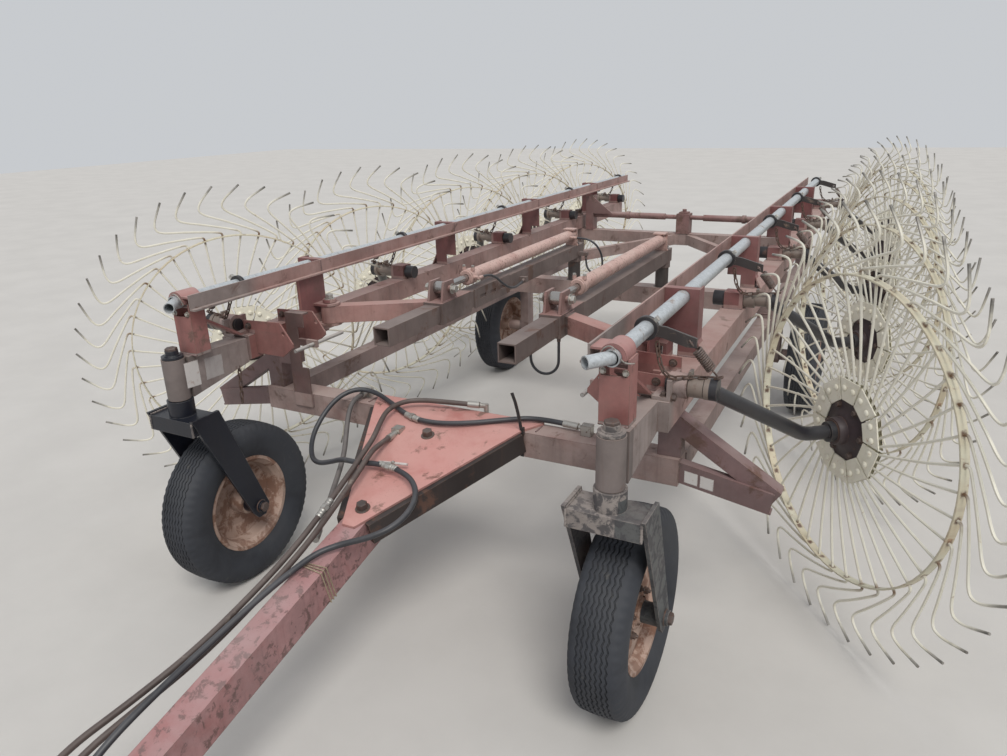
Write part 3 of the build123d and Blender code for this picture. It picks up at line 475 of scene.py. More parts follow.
RUST_RIM = Finish(
    "rusty_rim_paint", (0.36, 0.235, 0.185), (0.52, 0.37, 0.30), rust=(0.16, 0.075, 0.045), rust_cover=0.5,
    rust_scale=16.0, dust_amount=0.3, side_darkening=0.3, roughness=0.78, depth=0.4, seed=6.0)
RUSTY_STEEL = Finish(
    "rusty_steel", (0.055, 0.04, 0.036), (0.11, 0.08, 0.07), rust=(0.07, 0.038, 0.028), rust_cover=0.5,
    rust_scale=60.0, dust_amount=0.15, side_darkening=0.2, roughness=0.68, metallic=0.3, grain=500.0, depth=0.4,
    round_edge=0.0008, seed=8.0)
SPRING_STEEL = Finish(
    "spring_steel", (0.13, 0.10, 0.09), (0.22, 0.18, 0.17), rust_cover=0.3, rust_scale=60.0,
    dust_amount=0.15, side_darkening=0.2, roughness=0.45, metallic=0.5, grain=500.0, round_edge=0.0006, seed=12.0)
ZINC = Finish(
    "zinc_plated_steel", (0.42, 0.41, 0.39), (0.55, 0.54, 0.5), rust_scale=50.0, dust_amount=0.15,
    streaks=0.05, side_darkening=0.15, roughness=0.4, metallic=0.7, grain=600.0, round_edge=0.0007)
BOLT_DARK = Finish(
    "dark_bolt_steel", (0.055, 0.045, 0.043), (0.12, 0.09, 0.082), rust_cover=0.35, rust_scale=60.0,
    streaks=0.0, side_darkening=0.2, roughness=0.55, metallic=0.4, grain=500.0, round_edge=0.0008, seed=14.0)
CHROME = Finish(
    "chromed_rod", (0.5, 0.5, 0.5), (0.42, 0.4, 0.38), rust_cover=0.12, rust_scale=40.0, streaks=0.0,
    side_darkening=0.1, roughness=0.22, metallic=0.9, grain=600.0, depth=0.05)
CREAM_TINE = Finish(
    "cream_tine_paint", (0.72, 0.68, 0.55), (0.84, 0.81, 0.70), fade_scale=8.0, rust=(0.3, 0.19, 0.1),
    rust_cover=0.08, rust_scale=34.0, wear=(0.42, 0.34, 0.24), wear_gain=1.0, dust=(0.66, 0.62, 0.52),
    dust_amount=0.12, streaks=0.0, side_darkening=0.05, chips=0.08, roughness=0.45, grain=500.0, round_edge=0.0008,
    seed=1.0)
CREAM_BAND = Finish(
    "cream_band_paint", (0.64, 0.60, 0.44), (0.76, 0.73, 0.58), fade_scale=8.0, rust=(0.28, 0.15, 0.08),
    rust_cover=0.18, rust_scale=26.0, wear=(0.3, 0.2, 0.12), wear_gain=2.5, dust=(0.64, 0.6, 0.5),
    side_darkening=0.12, roughness=0.5, grain=400.0, round_edge=0.0012, seed=1.5)
# Lighter copy of the cream paint: painted light that brightens the clamp plates and their round bolt heads,
# which lie in shade.
CREAM_CLAMP_LIT = Finish(
    "cream_clamp_paint", (0.84, 0.80, 0.64), (0.92, 0.89, 0.76), fade_scale=9.0, rust=(0.4, 0.26, 0.16),
    rust_cover=0.12, rust_scale=30.0, wear=(0.36, 0.26, 0.17), wear_gain=2.0, dust=(0.76, 0.72, 0.6),
    dust_amount=0.15, streaks=0.1, side_darkening=0.05, roughness=0.5, grain=400.0, round_edge=0.0012, seed=2.5)
MAROON_HUB = Finish(
    "maroon_hub_paint", (0.022, 0.015, 0.019), (0.045, 0.03, 0.034), rust_cover=0.14, rust_scale=24.0,
    dust=(0.2, 0.17, 0.16), side_darkening=0.2, roughness=0.5, seed=15.0)
TYRE_RUBBER = Finish(
    "tyre_rubber", (0.013, 0.015, 0.020), (0.032, 0.036, 0.046), fade_scale=6.0, rust=(0.06, 0.058, 0.056),
    rust_cover=0.08, rust_scale=14.0, wear=(0.07, 0.07, 0.075), wear_gain=3.0, dust=(0.15, 0.15, 0.15),
    dust_amount=0.35, streaks=0.1, side_darkening=0.0, chips=0.0, roughness=0.8, grain=320.0, depth=0.25,
    round_edge=0.0015)
HOSE_RUBBER = Finish(
    "black_hose_rubber", (0.010, 0.011, 0.014), (0.034, 0.036, 0.043), fade_scale=10.0,
    rust=(0.07, 0.065, 0.06), rust_cover=0.15, rust_scale=24.0, dust=(0.24, 0.24, 0.25), dust_amount=0.3,
    streaks=0.0, side_darkening=0.0, chips=0.0, roughness=0.4, grain=700.0, depth=0.12, round_edge=0.001)
HOSE_BROWN = Finish(
    "brown_hose_rubber", (0.042, 0.028, 0.026), (0.085, 0.062, 0.056), fade_scale=10.0,
    rust=(0.16, 0.13, 0.11), rust_scale=20.0, dust=(0.3, 0.26, 0.24), dust_amount=0.3, streaks=0.0,
    side_darkening=0.0, chips=0.0, roughness=0.52, grain=700.0, depth=0.12, round_edge=0.001)
HOSE_GREY = Finish(
    "grey_hose_rubber", (0.06, 0.054, 0.054), (0.12, 0.11, 0.108), fade_scale=10.0, rust_cover=0.1,
    dust_amount=0.3, streaks=0.0, side_darkening=0.1, chips=0.0, roughness=0.55, grain=700.0, depth=0.1,
    round_edge=0.001)
BLANK_LABEL = Finish(
    "blank_label_film", (0.58, 0.55, 0.53), (0.68, 0.65, 0.63), rust=(0.34, 0.26, 0.23), rust_cover=0.25,
    rust_scale=30.0, streaks=0.1, side_darkening=0.15, roughness=0.45, grain=300.0, depth=0.05, round_edge=0.0005)
FILM_REMAINS = Finish(
    "worn_film_remains", (0.30, 0.26, 0.25), (0.44, 0.41, 0.40), fade_scale=14.0, rust=(0.2, 0.155, 0.145),
    rust_scale=12.0, dust_amount=0.3, streaks=0.2, side_darkening=0.2, grain=300.0, round_edge=0.0005)
TWINE = Finish(
    "twine_fibre", (0.36, 0.29, 0.19), (0.5, 0.42, 0.3), fade_scale=40.0, rust_scale=80.0, streaks=0.0,
    side_darkening=0.15, chips=0.0, roughness=0.9, grain=1400.0, depth=0.8, round_edge=0.0003)
STRAP = Finish(
    "black_strap_webbing", (0.008, 0.008, 0.010), (0.02, 0.02, 0.022), fade_scale=20.0, rust_cover=0.05,
    dust=(0.16, 0.155, 0.15), dust_amount=0.15, streaks=0.0, side_darkening=0.0, chips=0.0, grain=1600.0, depth=0.7,
    round_edge=0.0006)


@dataclass(frozen=True)
class Zone:
    """Part of a node that has its own paint.

    It is a box in the absolute X, in Y from the swivels' line and in Z, or what lies round a line.
    """

    tone: Point
    faded: Point
    x: tuple[float, float] | None = None
    y: tuple[float, float] | None = None
    z: tuple[float, float] | None = None
    soft: float = 0.0008
    line: tuple[int, int, float, float, float] | None = None


BEAM_ZONES = (
    Zone((0.18, 0.135, 0.125), (0.34, 0.285, 0.27), y=(-1.0, 0.36), soft=0.05),
    Zone((0.24, 0.065, 0.06), (0.34, 0.14, 0.125), x=(0.5, 0.8415), y=(0.36, 0.66), z=(0.9, 1.12)),
    Zone((0.27, 0.065, 0.06), (0.37, 0.14, 0.125), x=(0.70, 0.9145), y=(-1.0, 0.62), z=(1.052, 1.2235)),
    Zone((0.32, 0.10, 0.10), (0.42, 0.19, 0.18), x=(0.7828, 0.9145), y=(-1.0, 0.62), z=(1.2235, 1.6)),
    Zone((0.15, 0.034, 0.038), (0.24, 0.075, 0.075), x=(0.7828, 0.9145), y=(0.62, 9.0), z=(1.052, 1.6)),
    Zone((0.15, 0.034, 0.038), (0.24, 0.075, 0.075), x=(0.70, 0.9145), y=(0.62, 9.0), z=(1.052, 1.2235)),
    Zone((0.09, 0.074, 0.069), (0.18, 0.15, 0.143), z=(0.8, 1.046), line=(0, 1, 0.865, 0.0, 0.082)),
)
SLIDE_ZONES = (
    Zone((0.36, 0.14, 0.12), (0.48, 0.27, 0.24), x=(0.345, 1.2)),
    Zone((0.26, 0.12, 0.11), (0.38, 0.25, 0.23), z=(1.0965, 1.4)),
)
FRAME_ZONES = (
    Zone((0.36, 0.35, 0.34), (0.46, 0.45, 0.43), line=(0, 2, 0.625, 0.985, 0.0095)),
    Zone((0.055, 0.028, 0.028), (0.13, 0.055, 0.053), x=(0.662, 0.768), y=(0.4, 0.5525), z=(0.7515, 1.2)),
    Zone((0.012, 0.011, 0.012), (0.035, 0.032, 0.032), z=(0.77, 1.4), line=(0, 1, 0.280, 2.540, 0.048)),
    Zone((0.17, 0.105, 0.098), (0.28, 0.2, 0.19), x=(0.84, 0.94), y=(0.62, 9.0)),
)
FORK_ZONES = (
    Zone((0.03, 0.034, 0.038), (0.075, 0.085, 0.088), x=(0.9, 1.1), z=(0.2, 0.86)),
    Zone((0.02, 0.02, 0.024), (0.06, 0.058, 0.06), x=(0.6, 0.83), z=(0.2, 0.74)),
)
ARM_ZONES = (
    Zone((0.15, 0.115, 0.095), (0.25, 0.20, 0.17), x=(0.93, 1.046), z=(1.0, 1.2)),
)


class Library:
    """Makes each material once."""

    def __init__(self) -> None:
        """Builds the shared effects and the tine wheels' two materials."""
        self.effects = Effects()
        self.made: dict[str, bpy.types.Material] = {}
        self.tine_material = self._tine()
        self.band_material = self._band()

    def get(self, finish: Finish) -> bpy.types.Material:
        """Material of a finish.

        Args:
            finish: The finish.
        Returns:
            Its material, made on first use.
        """
        if finish.name not in self.made:
            self.made[finish.name] = self._weathered(finish)
            log.info("material: %s", finish.name)
        return self.made[finish.name]

    def start(self, name: str) -> tuple[bpy.types.Material, Graph]:
        """Empty node material.

        Args:
            name: Its name.
        Returns:
            The material and its graph.
        """
        material = bpy.data.materials.new(name)
        material.use_nodes = True
        material.node_tree.nodes.clear()
        return material, Graph(material.node_tree)

    def close(self, graph: Graph, sockets: dict) -> None:
        """Adds the shader and the output.

        Args:
            graph: The material's graph.
            sockets: Inputs of the shader.
        """
        shader = graph.add("ShaderNodeBsdfPrincipled", sockets)
        graph.add("ShaderNodeOutputMaterial", {"Surface": shader.outputs[0]})

    def layers(self, graph: Graph, finish: Finish,
               colour: object | None) -> tuple[bpy.types.NodeSocket, ...]:
        """Colour, roughness and normal of a finish.

        Args:
            graph: The material's graph.
            finish: The finish.
            colour: Colour socket under the weathering, instead of the finish's own tones.
        Returns:
            The three sockets.
        """
        fx = self.effects
        fade = graph.group(fx.blotch, Scale=finish.fade_scale, Cover=finish.fade_cover, Soft=0.22,
                           Seed=finish.seed)
        rust = graph.group(fx.blotch, Scale=finish.rust_scale, Cover=finish.rust_cover, Soft=0.05,
                           Seed=finish.seed + 4.3)
        edge = graph.group(fx.edge, Gain=finish.wear_gain)
        chips = graph.group(fx.chips, Size=finish.chips) if finish.chips else 0.0
        dust = graph.group(fx.dust, Amount=finish.dust_amount)
        base = colour if colour is not None else graph.mix(fade, rgba(finish.tone), rgba(finish.faded))
        if finish.streaks:
            streak = graph.group(fx.streak, Amount=finish.streaks)
            base = graph.mix(streak, base, rgba(finish.rust))
        marks = graph.math("MAXIMUM", graph.times(rust, 0.85), chips)
        rusty = graph.mix(fade, rgba(finish.rust), rgba([c * 1.5 for c in finish.rust]))
        base = graph.mix(marks, base, rusty)
        base = graph.mix(edge, base, rgba(finish.wear))
        # Darkens what faces sideways or down, in patches.
        side_darkening = graph.group(fx.side_darkening, Amount=finish.side_darkening)
        base = graph.mix(side_darkening, base, rgba(SIDE_DARK_TONE))
        base = graph.mix(dust, base, rgba(finish.dust))
        rough = graph.plus(finish.roughness, graph.times(graph.math("MAXIMUM", marks, dust), 0.22),
                           clamp=True)
        normal = graph.group(fx.relief, Grain=finish.grain, Depth=finish.depth, Mask=marks, Step=0.35,
                             Round=finish.round_edge)
        return base, rough, normal

    def weather(self, graph: Graph, finish: Finish, colour: object | None, metallic: object = 0.0) -> None:
        """Adds the layers of a finish, the shader and the output.

        Args:
            graph: The material's graph.
            finish: The finish.
            colour: Colour socket under the weathering, instead of the finish's own tones.
            metallic: How much of it is bare metal.
        """
        base, rough, normal = self.layers(graph, finish, colour)
        self.close(graph, {"Base Color": base, "Roughness": rough, "Normal": normal, "Metallic": metallic})

    def _weathered(self, finish: Finish) -> bpy.types.Material:
        """Material with fading, rust, chips, worn edges, streaks and dust.

        Args:
            finish: The finish.
        Returns:
            The material.
        """
        material, graph = self.start(finish.name)
        self.weather(graph, finish, None, finish.metallic)
        return material

    def lift_pipe(self, site: Site) -> bpy.types.Material:
        """Zinc spangle on the pipe, black paint on what stands out from it.

        Args:
            site: Gives the shift of the frame.
        Returns:
            The material.
        """
        material, graph = self.start("galvanised_pipe")
        place = graph.place()
        split = graph.axes(place)
        across = graph.minus(graph.math("ABSOLUTE", split[0]), PIPE_AXIS[0])
        above = graph.minus(split[2], PIPE_AXIS[1])
        out = graph.math("SQRT", graph.plus(graph.times(across, across), graph.times(above, above)))
        behind = graph.math("GREATER_THAN", split[1], 0.1 + site.shift)
        black = graph.times(graph.math("GREATER_THAN", out, 0.0262), behind)
        crystals = graph.add("ShaderNodeTexVoronoi", {"Vector": place, "Scale": 130.0},
                             feature="F1").outputs["Color"]
        shade = graph.add("ShaderNodeSeparateColor", {0: crystals}).outputs[0]
        zinc = graph.mix(shade, rgba((0.50, 0.535, 0.56)), rgba((0.64, 0.68, 0.71)))
        tone = graph.mix(black, zinc, rgba((0.03, 0.026, 0.028)))
        worn = Finish("pipe", (0, 0, 0), (0, 0, 0), rust=(0.22, 0.15, 0.11), rust_scale=11.0,
                      wear_gain=2.0, wear=(0.2, 0.16, 0.13), dust=(0.44, 0.43, 0.42),
                      streaks=0.05, chips=0.06, roughness=0.38)
        self.weather(graph, worn, tone, graph.times(graph.minus(1.0, black), 0.35))
        return material

    def by_zone(self, name: str, finish: Finish, zones: Sequence[Zone], site: Site) -> bpy.types.Material:
        """Material whose paint differs from place to place.

        Args:
            name: Its name.
            finish: Finish of the whole, and its paint outside the zones.
            zones: Zones in the order that they cover each other.
            site: The shared frame.
        Returns:
            The material.
        """
        material, graph = self.start(name)
        place = graph.place()
        split = graph.axes(place)
        spot = (graph.math("ABSOLUTE", split[0]), graph.minus(split[1], site.shift), split[2])
        patch = graph.group(self.effects.blotch, Scale=5.0, Cover=0.75, Soft=0.2, Seed=9.0)
        tone = graph.mix(patch, rgba(finish.tone), rgba(finish.faded))
        for zone in zones:
            inside: object = 1.0
            for value, span in zip(spot, (zone.x, zone.y, zone.z)):
                if span:
                    above = graph.span(value, span[0] - zone.soft, span[0] + zone.soft)
                    below = graph.minus(1.0, graph.span(value, span[1] - zone.soft, span[1] + zone.soft))
                    inside = graph.times(inside, graph.times(above, below))
            if zone.line:
                first, second, middle, height, radius = zone.line
                offsets = [graph.minus(spot[first], middle), graph.minus(spot[second], height)]
                squares = [graph.times(offset, offset) for offset in offsets]
                inside = graph.times(inside, graph.math("LESS_THAN", graph.plus(*squares), radius * radius))
            tone = graph.mix(inside, tone, graph.mix(patch, rgba(zone.tone), rgba(zone.faded)))
        self.weather(graph, finish, tone)
        return material

    def _tine(self) -> bpy.types.Material:
        """Cream paint on the tines that gives way to bare steel at the tips.

        Returns:
            The material.
        """
        material, graph = self.start("cream_tine_paint_bare_tips")
        place = graph.place()
        split = graph.axes(place)
        squares = [graph.times(split[i], split[i]) for i in (0, 1)]
        radius = graph.math("SQRT", graph.plus(*squares))
        ragged = graph.noise(place, 22.0, 5.0)
        reach = graph.plus(radius, graph.times(ragged, 0.09))
        bare = graph.span(reach, 0.765, 0.83)
        from_band = graph.math("ABSOLUTE", graph.minus(radius, BAND_RADIUS))
        near_band = graph.minus(1.0, graph.span(from_band, 0.006, 0.03))
        stain = graph.times(near_band, graph.span(ragged, 0.38, 0.6))
        fade = graph.group(self.effects.blotch, Scale=8.0, Cover=0.8, Soft=0.2)
        cream = graph.mix(fade, rgba(CREAM_TINE.tone), rgba(CREAM_TINE.faded))
        tone = graph.mix(stain, cream, rgba((0.17, 0.085, 0.04)))
        steel = graph.mix(graph.span(ragged, 0.42, 0.6), rgba((0.13, 0.125, 0.12)), rgba((0.38, 0.365, 0.34)))
        tone = graph.mix(bare, tone, steel)
        self.weather(graph, CREAM_TINE, tone, graph.times(bare, 0.4))
        return material

    def _band(self) -> bpy.types.Material:
        """Cream paint on the bands, with rust that runs both ways from each tine's hole.

        Returns:
            The material.
        """
        material, graph = self.start("cream_band_paint_stained_holes")
        place = graph.place()
        split = graph.axes(place)
        angle = graph.math("ARCTAN2", split[1], graph.math("ABSOLUTE", split[0]))
        turn = graph.minus(graph.times(angle, TINE_COUNT / math.tau), HOLE_ANGLE / 360.0 * TINE_COUNT)
        apart = graph.math("ABSOLUTE", graph.minus(turn, graph.math("ROUND", turn)))
        ragged = graph.noise(place, 45.0, 6.0, 0.7)
        reach = graph.plus(apart, graph.times(graph.minus(ragged, 0.5), 0.5))
        near = graph.minus(1.0, graph.span(reach, 0.02, 0.17))
        middle = graph.math("ABSOLUTE", graph.minus(split[2], TINE_HEIGHT))
        stain = graph.times(near, graph.minus(1.0, graph.span(middle, 0.004, 0.014)))
        fade = graph.group(self.effects.blotch, Scale=8.0, Cover=0.8, Soft=0.2)
        cream = graph.mix(fade, rgba(CREAM_BAND.tone), rgba(CREAM_BAND.faded))
        tint = graph.group(self.effects.blotch, Scale=3.5, Cover=0.4, Soft=0.15, Seed=6.0)
        cream = graph.mix(graph.times(tint, 0.5), cream, rgba((0.62, 0.46, 0.27)))
        tone = graph.mix(stain, cream, rgba((0.15, 0.08, 0.05)))
        self.weather(graph, CREAM_BAND, tone)
        return material


# Meshes


class Maker:
    """Gathers simple parts into one mesh and turns it into a piece.

    Args:
        name: Name of the piece.
        materials: Its materials, in slot order.
    """

    def __init__(self, name: str, *materials: bpy.types.Material) -> None:
        """Starts with an empty mesh."""
        self.name = name
        self.materials = materials
        self.mesh = bmesh.new()

    def absorb(self, mesh: bpy.types.Mesh, matrix: Matrix | None = None, slot: int = 0) -> None:
        """Adds a mesh.

        Args:
            mesh: Mesh to add, which is left as it is.
            matrix: Where it goes.
            slot: Material slot of its faces.
        """
        before = len(self.mesh.faces)
        moved = mesh.copy()
        if matrix is not None:
            moved.transform(matrix)
        self.mesh.from_mesh(moved)
        bpy.data.meshes.remove(moved)
        self.mesh.faces.ensure_lookup_table()
        for face in self.mesh.faces[before:]:
            face.material_index = slot

    def lathe(self, profile: Sequence[tuple[float, float]], matrix: Matrix, segments: int = 24,
              slot: int = 0) -> None:
        """Adds a turned shape about local Z.

        Args:
            profile: Closed outline of (radius, height) points.
            matrix: Where it goes.
            segments: Steps round it.
            slot: Material slot.
        """
        rings = []
        for index in range(segments):
            angle = math.tau * index / segments
            spots = [Vector((r * math.cos(angle), r * math.sin(angle), z)) for r, z in profile]
            rings.append([self.mesh.verts.new(matrix @ spot) for spot in spots])
        for index, ring in enumerate(rings):
            following = rings[(index + 1) % segments]
            for step in range(len(profile)):
                other = (step + 1) % len(profile)
                if profile[step][0] < 1e-6 and profile[other][0] < 1e-6:
                    continue
                face = self.mesh.faces.new((ring[step], following[step], following[other], ring[other]))
                face.material_index = slot

    def prism(self, outline: Sequence[tuple[float, float]], low: float, high: float, matrix: Matrix,
              lip: float = 0.0, slot: int = 0) -> None:
        """Adds a flat plate with chamfered rims.

        Args:
            outline: Convex outline in local X and Y.
            low: Local Z of its underside.
            high: Local Z of its top.
            matrix: Where it goes.
            lip: Size of the chamfer round the top.
            slot: Material slot.
        """
        middle = Vector((sum(p[0] for p in outline), sum(p[1] for p in outline))) / len(outline)
        levels = [(low, 0.0), (high - lip, 0.0), (high, lip)] if lip else [(low, 0.0), (high, 0.0)]
        rows = []
        for z, inset in levels:
            row = []
            for x, y in outline:
                towards = middle - Vector((x, y))
                pulled = Vector((x, y)) + towards.normalized() * inset
                row.append(self.mesh.verts.new(matrix @ Vector((pulled.x, pulled.y, z))))
            rows.append(row)
        count = len(outline)
        for lower, upper in zip(rows, rows[1:]):
            for i in range(count):
                j = (i + 1) % count
                self.mesh.faces.new((lower[i], lower[j], upper[j], upper[i])).material_index = slot
        self.mesh.faces.new(rows[-1]).material_index = slot
        self.mesh.faces.new(rows[0][::-1]).material_index = slot

    def bolt(self, place: Vector, along: Vector, across: float, slot: int = 0, washer: bool = True,
             tail: float = 0.0) -> None:
        """Adds a hexagon head with a washer.

        Args:
            place: Point on the surface.
            along: Direction that it faces.
            across: Width across its flats.
            slot: Material slot.
            washer: Whether it has one.
            tail: Length of the threaded end that stands out of it.
        """
        matrix = frame_at(place, along)
        base = 0.0
        if washer:
            r = across * 0.78
            self.lathe([(0, 0), (r, 0), (r, across * 0.07), (r * 0.95, across * 0.1),
                        (0, across * 0.1)], matrix, 20, slot)
            base = across * 0.1
        outline = hexagon(across / math.sqrt(3))
        self.prism(outline, base, base + across * 0.62, matrix, across * 0.07, slot)
        if tail:
            r = across * 0.31
            top = base + tail
            self.lathe([(0, 0), (r, 0), (r, top), (r * 0.8, top + 0.002), (0, top + 0.002)], matrix, 14, slot)

    def dome(self, place: Vector, along: Vector, radius: float, height: float, slot: int = 0) -> None:
        """Adds a round bolt head.

        Args:
            place: Point on the surface.
            along: Direction that it faces.
            radius: Its radius.
            height: Its height.
            slot: Material slot.
        """
        shares = ((1.0, 0.0), (0.98, 0.35), (0.78, 0.78), (0.4, 1.0), (0.0, 1.0), (0.0, 0.0))
        self.lathe([(radius * r, height * z) for r, z in shares], frame_at(place, along), 12, slot)

    def ribbon(self, line: Sequence[Vector], across: Vector, width: float, thickness: float,
               slot: int = 0) -> None:
        """Adds a flat band along a line.

        Args:
            line: Its points.
            across: Direction of its width.
            width: Its width.
            thickness: Its thickness.
            slot: Material slot.
        """
        rows = []
        for index, point in enumerate(line):
            run = (line[min(index + 1, len(line) - 1)] - line[max(index - 1, 0)]).normalized()
            wide = (across - run * across.dot(run)).normalized() * width / 2
            high = run.cross(wide).normalized() * thickness / 2
            corners = ((-1, -1), (1, -1), (1, 1), (-1, 1))
            rows.append([self.mesh.verts.new(point + a * wide + b * high) for a, b in corners])
        for before, after in zip(rows, rows[1:]):
            for i in range(4):
                j = (i + 1) % 4
                self.mesh.faces.new((before[i], before[j], after[j], after[i])).material_index = slot
        self.mesh.faces.new(rows[0][::-1]).material_index = slot
        self.mesh.faces.new(rows[-1]).material_index = slot

    def weld(self, start: Vector, end: Vector, radius: float = WELD_RADIUS, slot: int = 0) -> None:
        """Adds a rippled weld bead.

        Args:
            start: Its first point.
            end: Its last point.
            radius: Its radius.
            slot: Material slot.
        """
        run = end - start
        steps = max(int(run.length / 0.0045), 4)
        matrix = frame_at(start, run)
        outline = [(0.0, 0.0)]
        for index in range(steps + 1):
            z = run.length * index / steps
            wobble = 0.82 + 0.36 * (index % 2) + 0.25 * noise.noise(start * 7 + Vector((z * 90, 0, 0)))
            outline.append((radius * wobble, z))
        outline.append((0.0, run.length))
        self.lathe(outline, matrix, 7, slot)

    def finish(self, body: str, smooth: float = 35.0) -> bpy.types.Object:
        """Turns the mesh into a piece that rides on a body.

        Args:
            body: Name of the body, or nothing for the studio's floor.
            smooth: Angle in degrees under which edges shade smooth.
        Returns:
            The piece.
        """
        bmesh.ops.remove_doubles(self.mesh, verts=self.mesh.verts, dist=1e-6)
        bmesh.ops.dissolve_degenerate(self.mesh, dist=1e-6, edges=self.mesh.edges)
        bmesh.ops.recalc_face_normals(self.mesh, faces=self.mesh.faces)
        data = bpy.data.meshes.new(self.name)
        self.mesh.to_mesh(data)
        self.mesh.free()
        piece = linked(self.name, shaded(data, self.materials, smooth))
        if body:
            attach(piece, body)
        log.info("piece: %s, %d faces", self.name, len(data.polygons))
        return piece


def hexagon(radius: float) -> list[tuple[float, float]]:
    """Outline of a hexagon, by the radius of its corners."""
    return [(radius * math.cos(math.tau * i / 6), radius * math.sin(math.tau * i / 6)) for i in range(6)]


def turned(x: Vector, y: Vector, z: Vector) -> Matrix:
    """Rotation that takes the three axes to these directions."""
    return Matrix((x, y, z)).transposed().to_4x4()


def linked(name: str, data: bpy.types.ID) -> bpy.types.Object:
    """New object in the scene.

    Args:
        name: Its name.
        data: Its mesh, curve, camera or light.
    Returns:
        The object.
    """
    piece = bpy.data.objects.new(name, data)
    bpy.context.scene.collection.objects.link(piece)
    return piece


def frame_at(place: Vector, along: Vector) -> Matrix:
    """Matrix with its origin at a place and Z along a direction."""
    turn = Vector(along).normalized().to_track_quat("Z", "Y").to_matrix().to_4x4()
    return Matrix.Translation(place) @ turn


def shaded(data: bpy.types.Mesh, materials: Iterable[bpy.types.Material], smooth: float) -> bpy.types.Mesh:
    """Mesh with its materials and its shading.

    Args:
        data: The mesh.
        materials: Its materials, in slot order.
        smooth: Angle in degrees under which edges shade smooth.
    Returns:
        The same mesh.
    """
    for material in materials:
        data.materials.append(material)
    data.shade_smooth()
    data.set_sharp_from_angle(angle=math.radians(smooth))
    return data


def nurbs(name: str, points: Sequence[Sequence[float]], radius: float, fineness: int = 4,
          cyclic: bool = False, sides: int = 3) -> bpy.types.Object:
    """Round bar or hose on a NURBS line.

    Args:
        name: Name of the object.
        points: Control points.
        radius: Its radius, 0 for the bare line.
        fineness: Steps between control points.
        cyclic: Whether it closes on itself.
        sides: Bevel resolution.
    Returns:
        The curve object, linked to the scene.
    """
    curve = bpy.data.curves.new(name, "CURVE")
    curve.dimensions = "3D"
    curve.resolution_u = fineness
    curve.bevel_depth = radius
    curve.bevel_resolution = sides
    curve.use_fill_caps = not cyclic
    spline = curve.splines.new("NURBS")
    spline.points.add(len(points) - 1)
    for control, point in zip(spline.points, points):
        control.co = (point[0], point[1], point[2], 1.0)
    spline.use_cyclic_u = cyclic
    spline.order_u = 3
    spline.use_endpoint_u = not cyclic
    spline.resolution_u = fineness
    return linked(name, curve)


def bar_mesh(points: Sequence[Sequence[float]], radius: float, fineness: int = 4, cyclic: bool = False,
             sides: int = 1) -> bpy.types.Mesh:
    """Mesh of a bent round bar.

    Args:
        points: Control points.
        radius: Its radius, 0 for the bare line.
        fineness: Steps between control points.
        cyclic: Whether it closes on itself.
        sides: Bevel resolution.
    Returns:
        The mesh.
    """
    piece = nurbs("wire", points, radius, fineness, cyclic, sides)
    mesh = bpy.data.meshes.new_from_object(piece)
    bpy.data.objects.remove(piece)
    return mesh


def spline_points(points: Sequence[Sequence[float]], fineness: int) -> list[Vector]:
    """Points that a NURBS line passes through.

    Args:
        points: Control points.
        fineness: Steps between control points.
    Returns:
        The points, in order.
    """
    mesh = bar_mesh(points, 0.0, fineness)
    line = [vertex.co.copy() for vertex in mesh.vertices]
    bpy.data.meshes.remove(mesh)
    return line


# Camera and studio


@dataclass(frozen=True)
class PhotoCamera:
    """Camera of the photograph, calibrated on the frame."""

    place: Point = (1.48416, -1.79859, 1.89587)
    heading: float = 0.48541
    pitch: float = 0.3458
    roll: float = -0.02958
    focal_pixels: float = 750.618

    def build(self, site: Site) -> None:
        """Adds the camera.

        Args:
            site: The shared frame.
        """
        data = bpy.data.cameras.new("photo_camera")
        data.sensor_fit = "HORIZONTAL"
        data.lens = data.sensor_width * self.focal_pixels / IMAGE_WIDTH
        data.clip_end = 200.0
        camera = linked("photo_camera", data)
        level = math.cos(self.pitch)
        ahead = Vector((-math.sin(self.heading) * level, math.cos(self.heading) * level,
                        -math.sin(self.pitch)))
        right = Vector((math.cos(self.heading), math.sin(self.heading), 0.0))
        up = right.cross(ahead)
        rolled_right = right * math.cos(self.roll) + up * math.sin(self.roll)
        rolled_up = up * math.cos(self.roll) - right * math.sin(self.roll)
        turn = turned(rolled_right, rolled_up, -ahead)
        camera.matrix_world = Matrix.Translation(site.at(self.place)) @ turn
        bpy.context.scene.camera = camera
        log.info("camera: lens %.2f mm", data.lens)


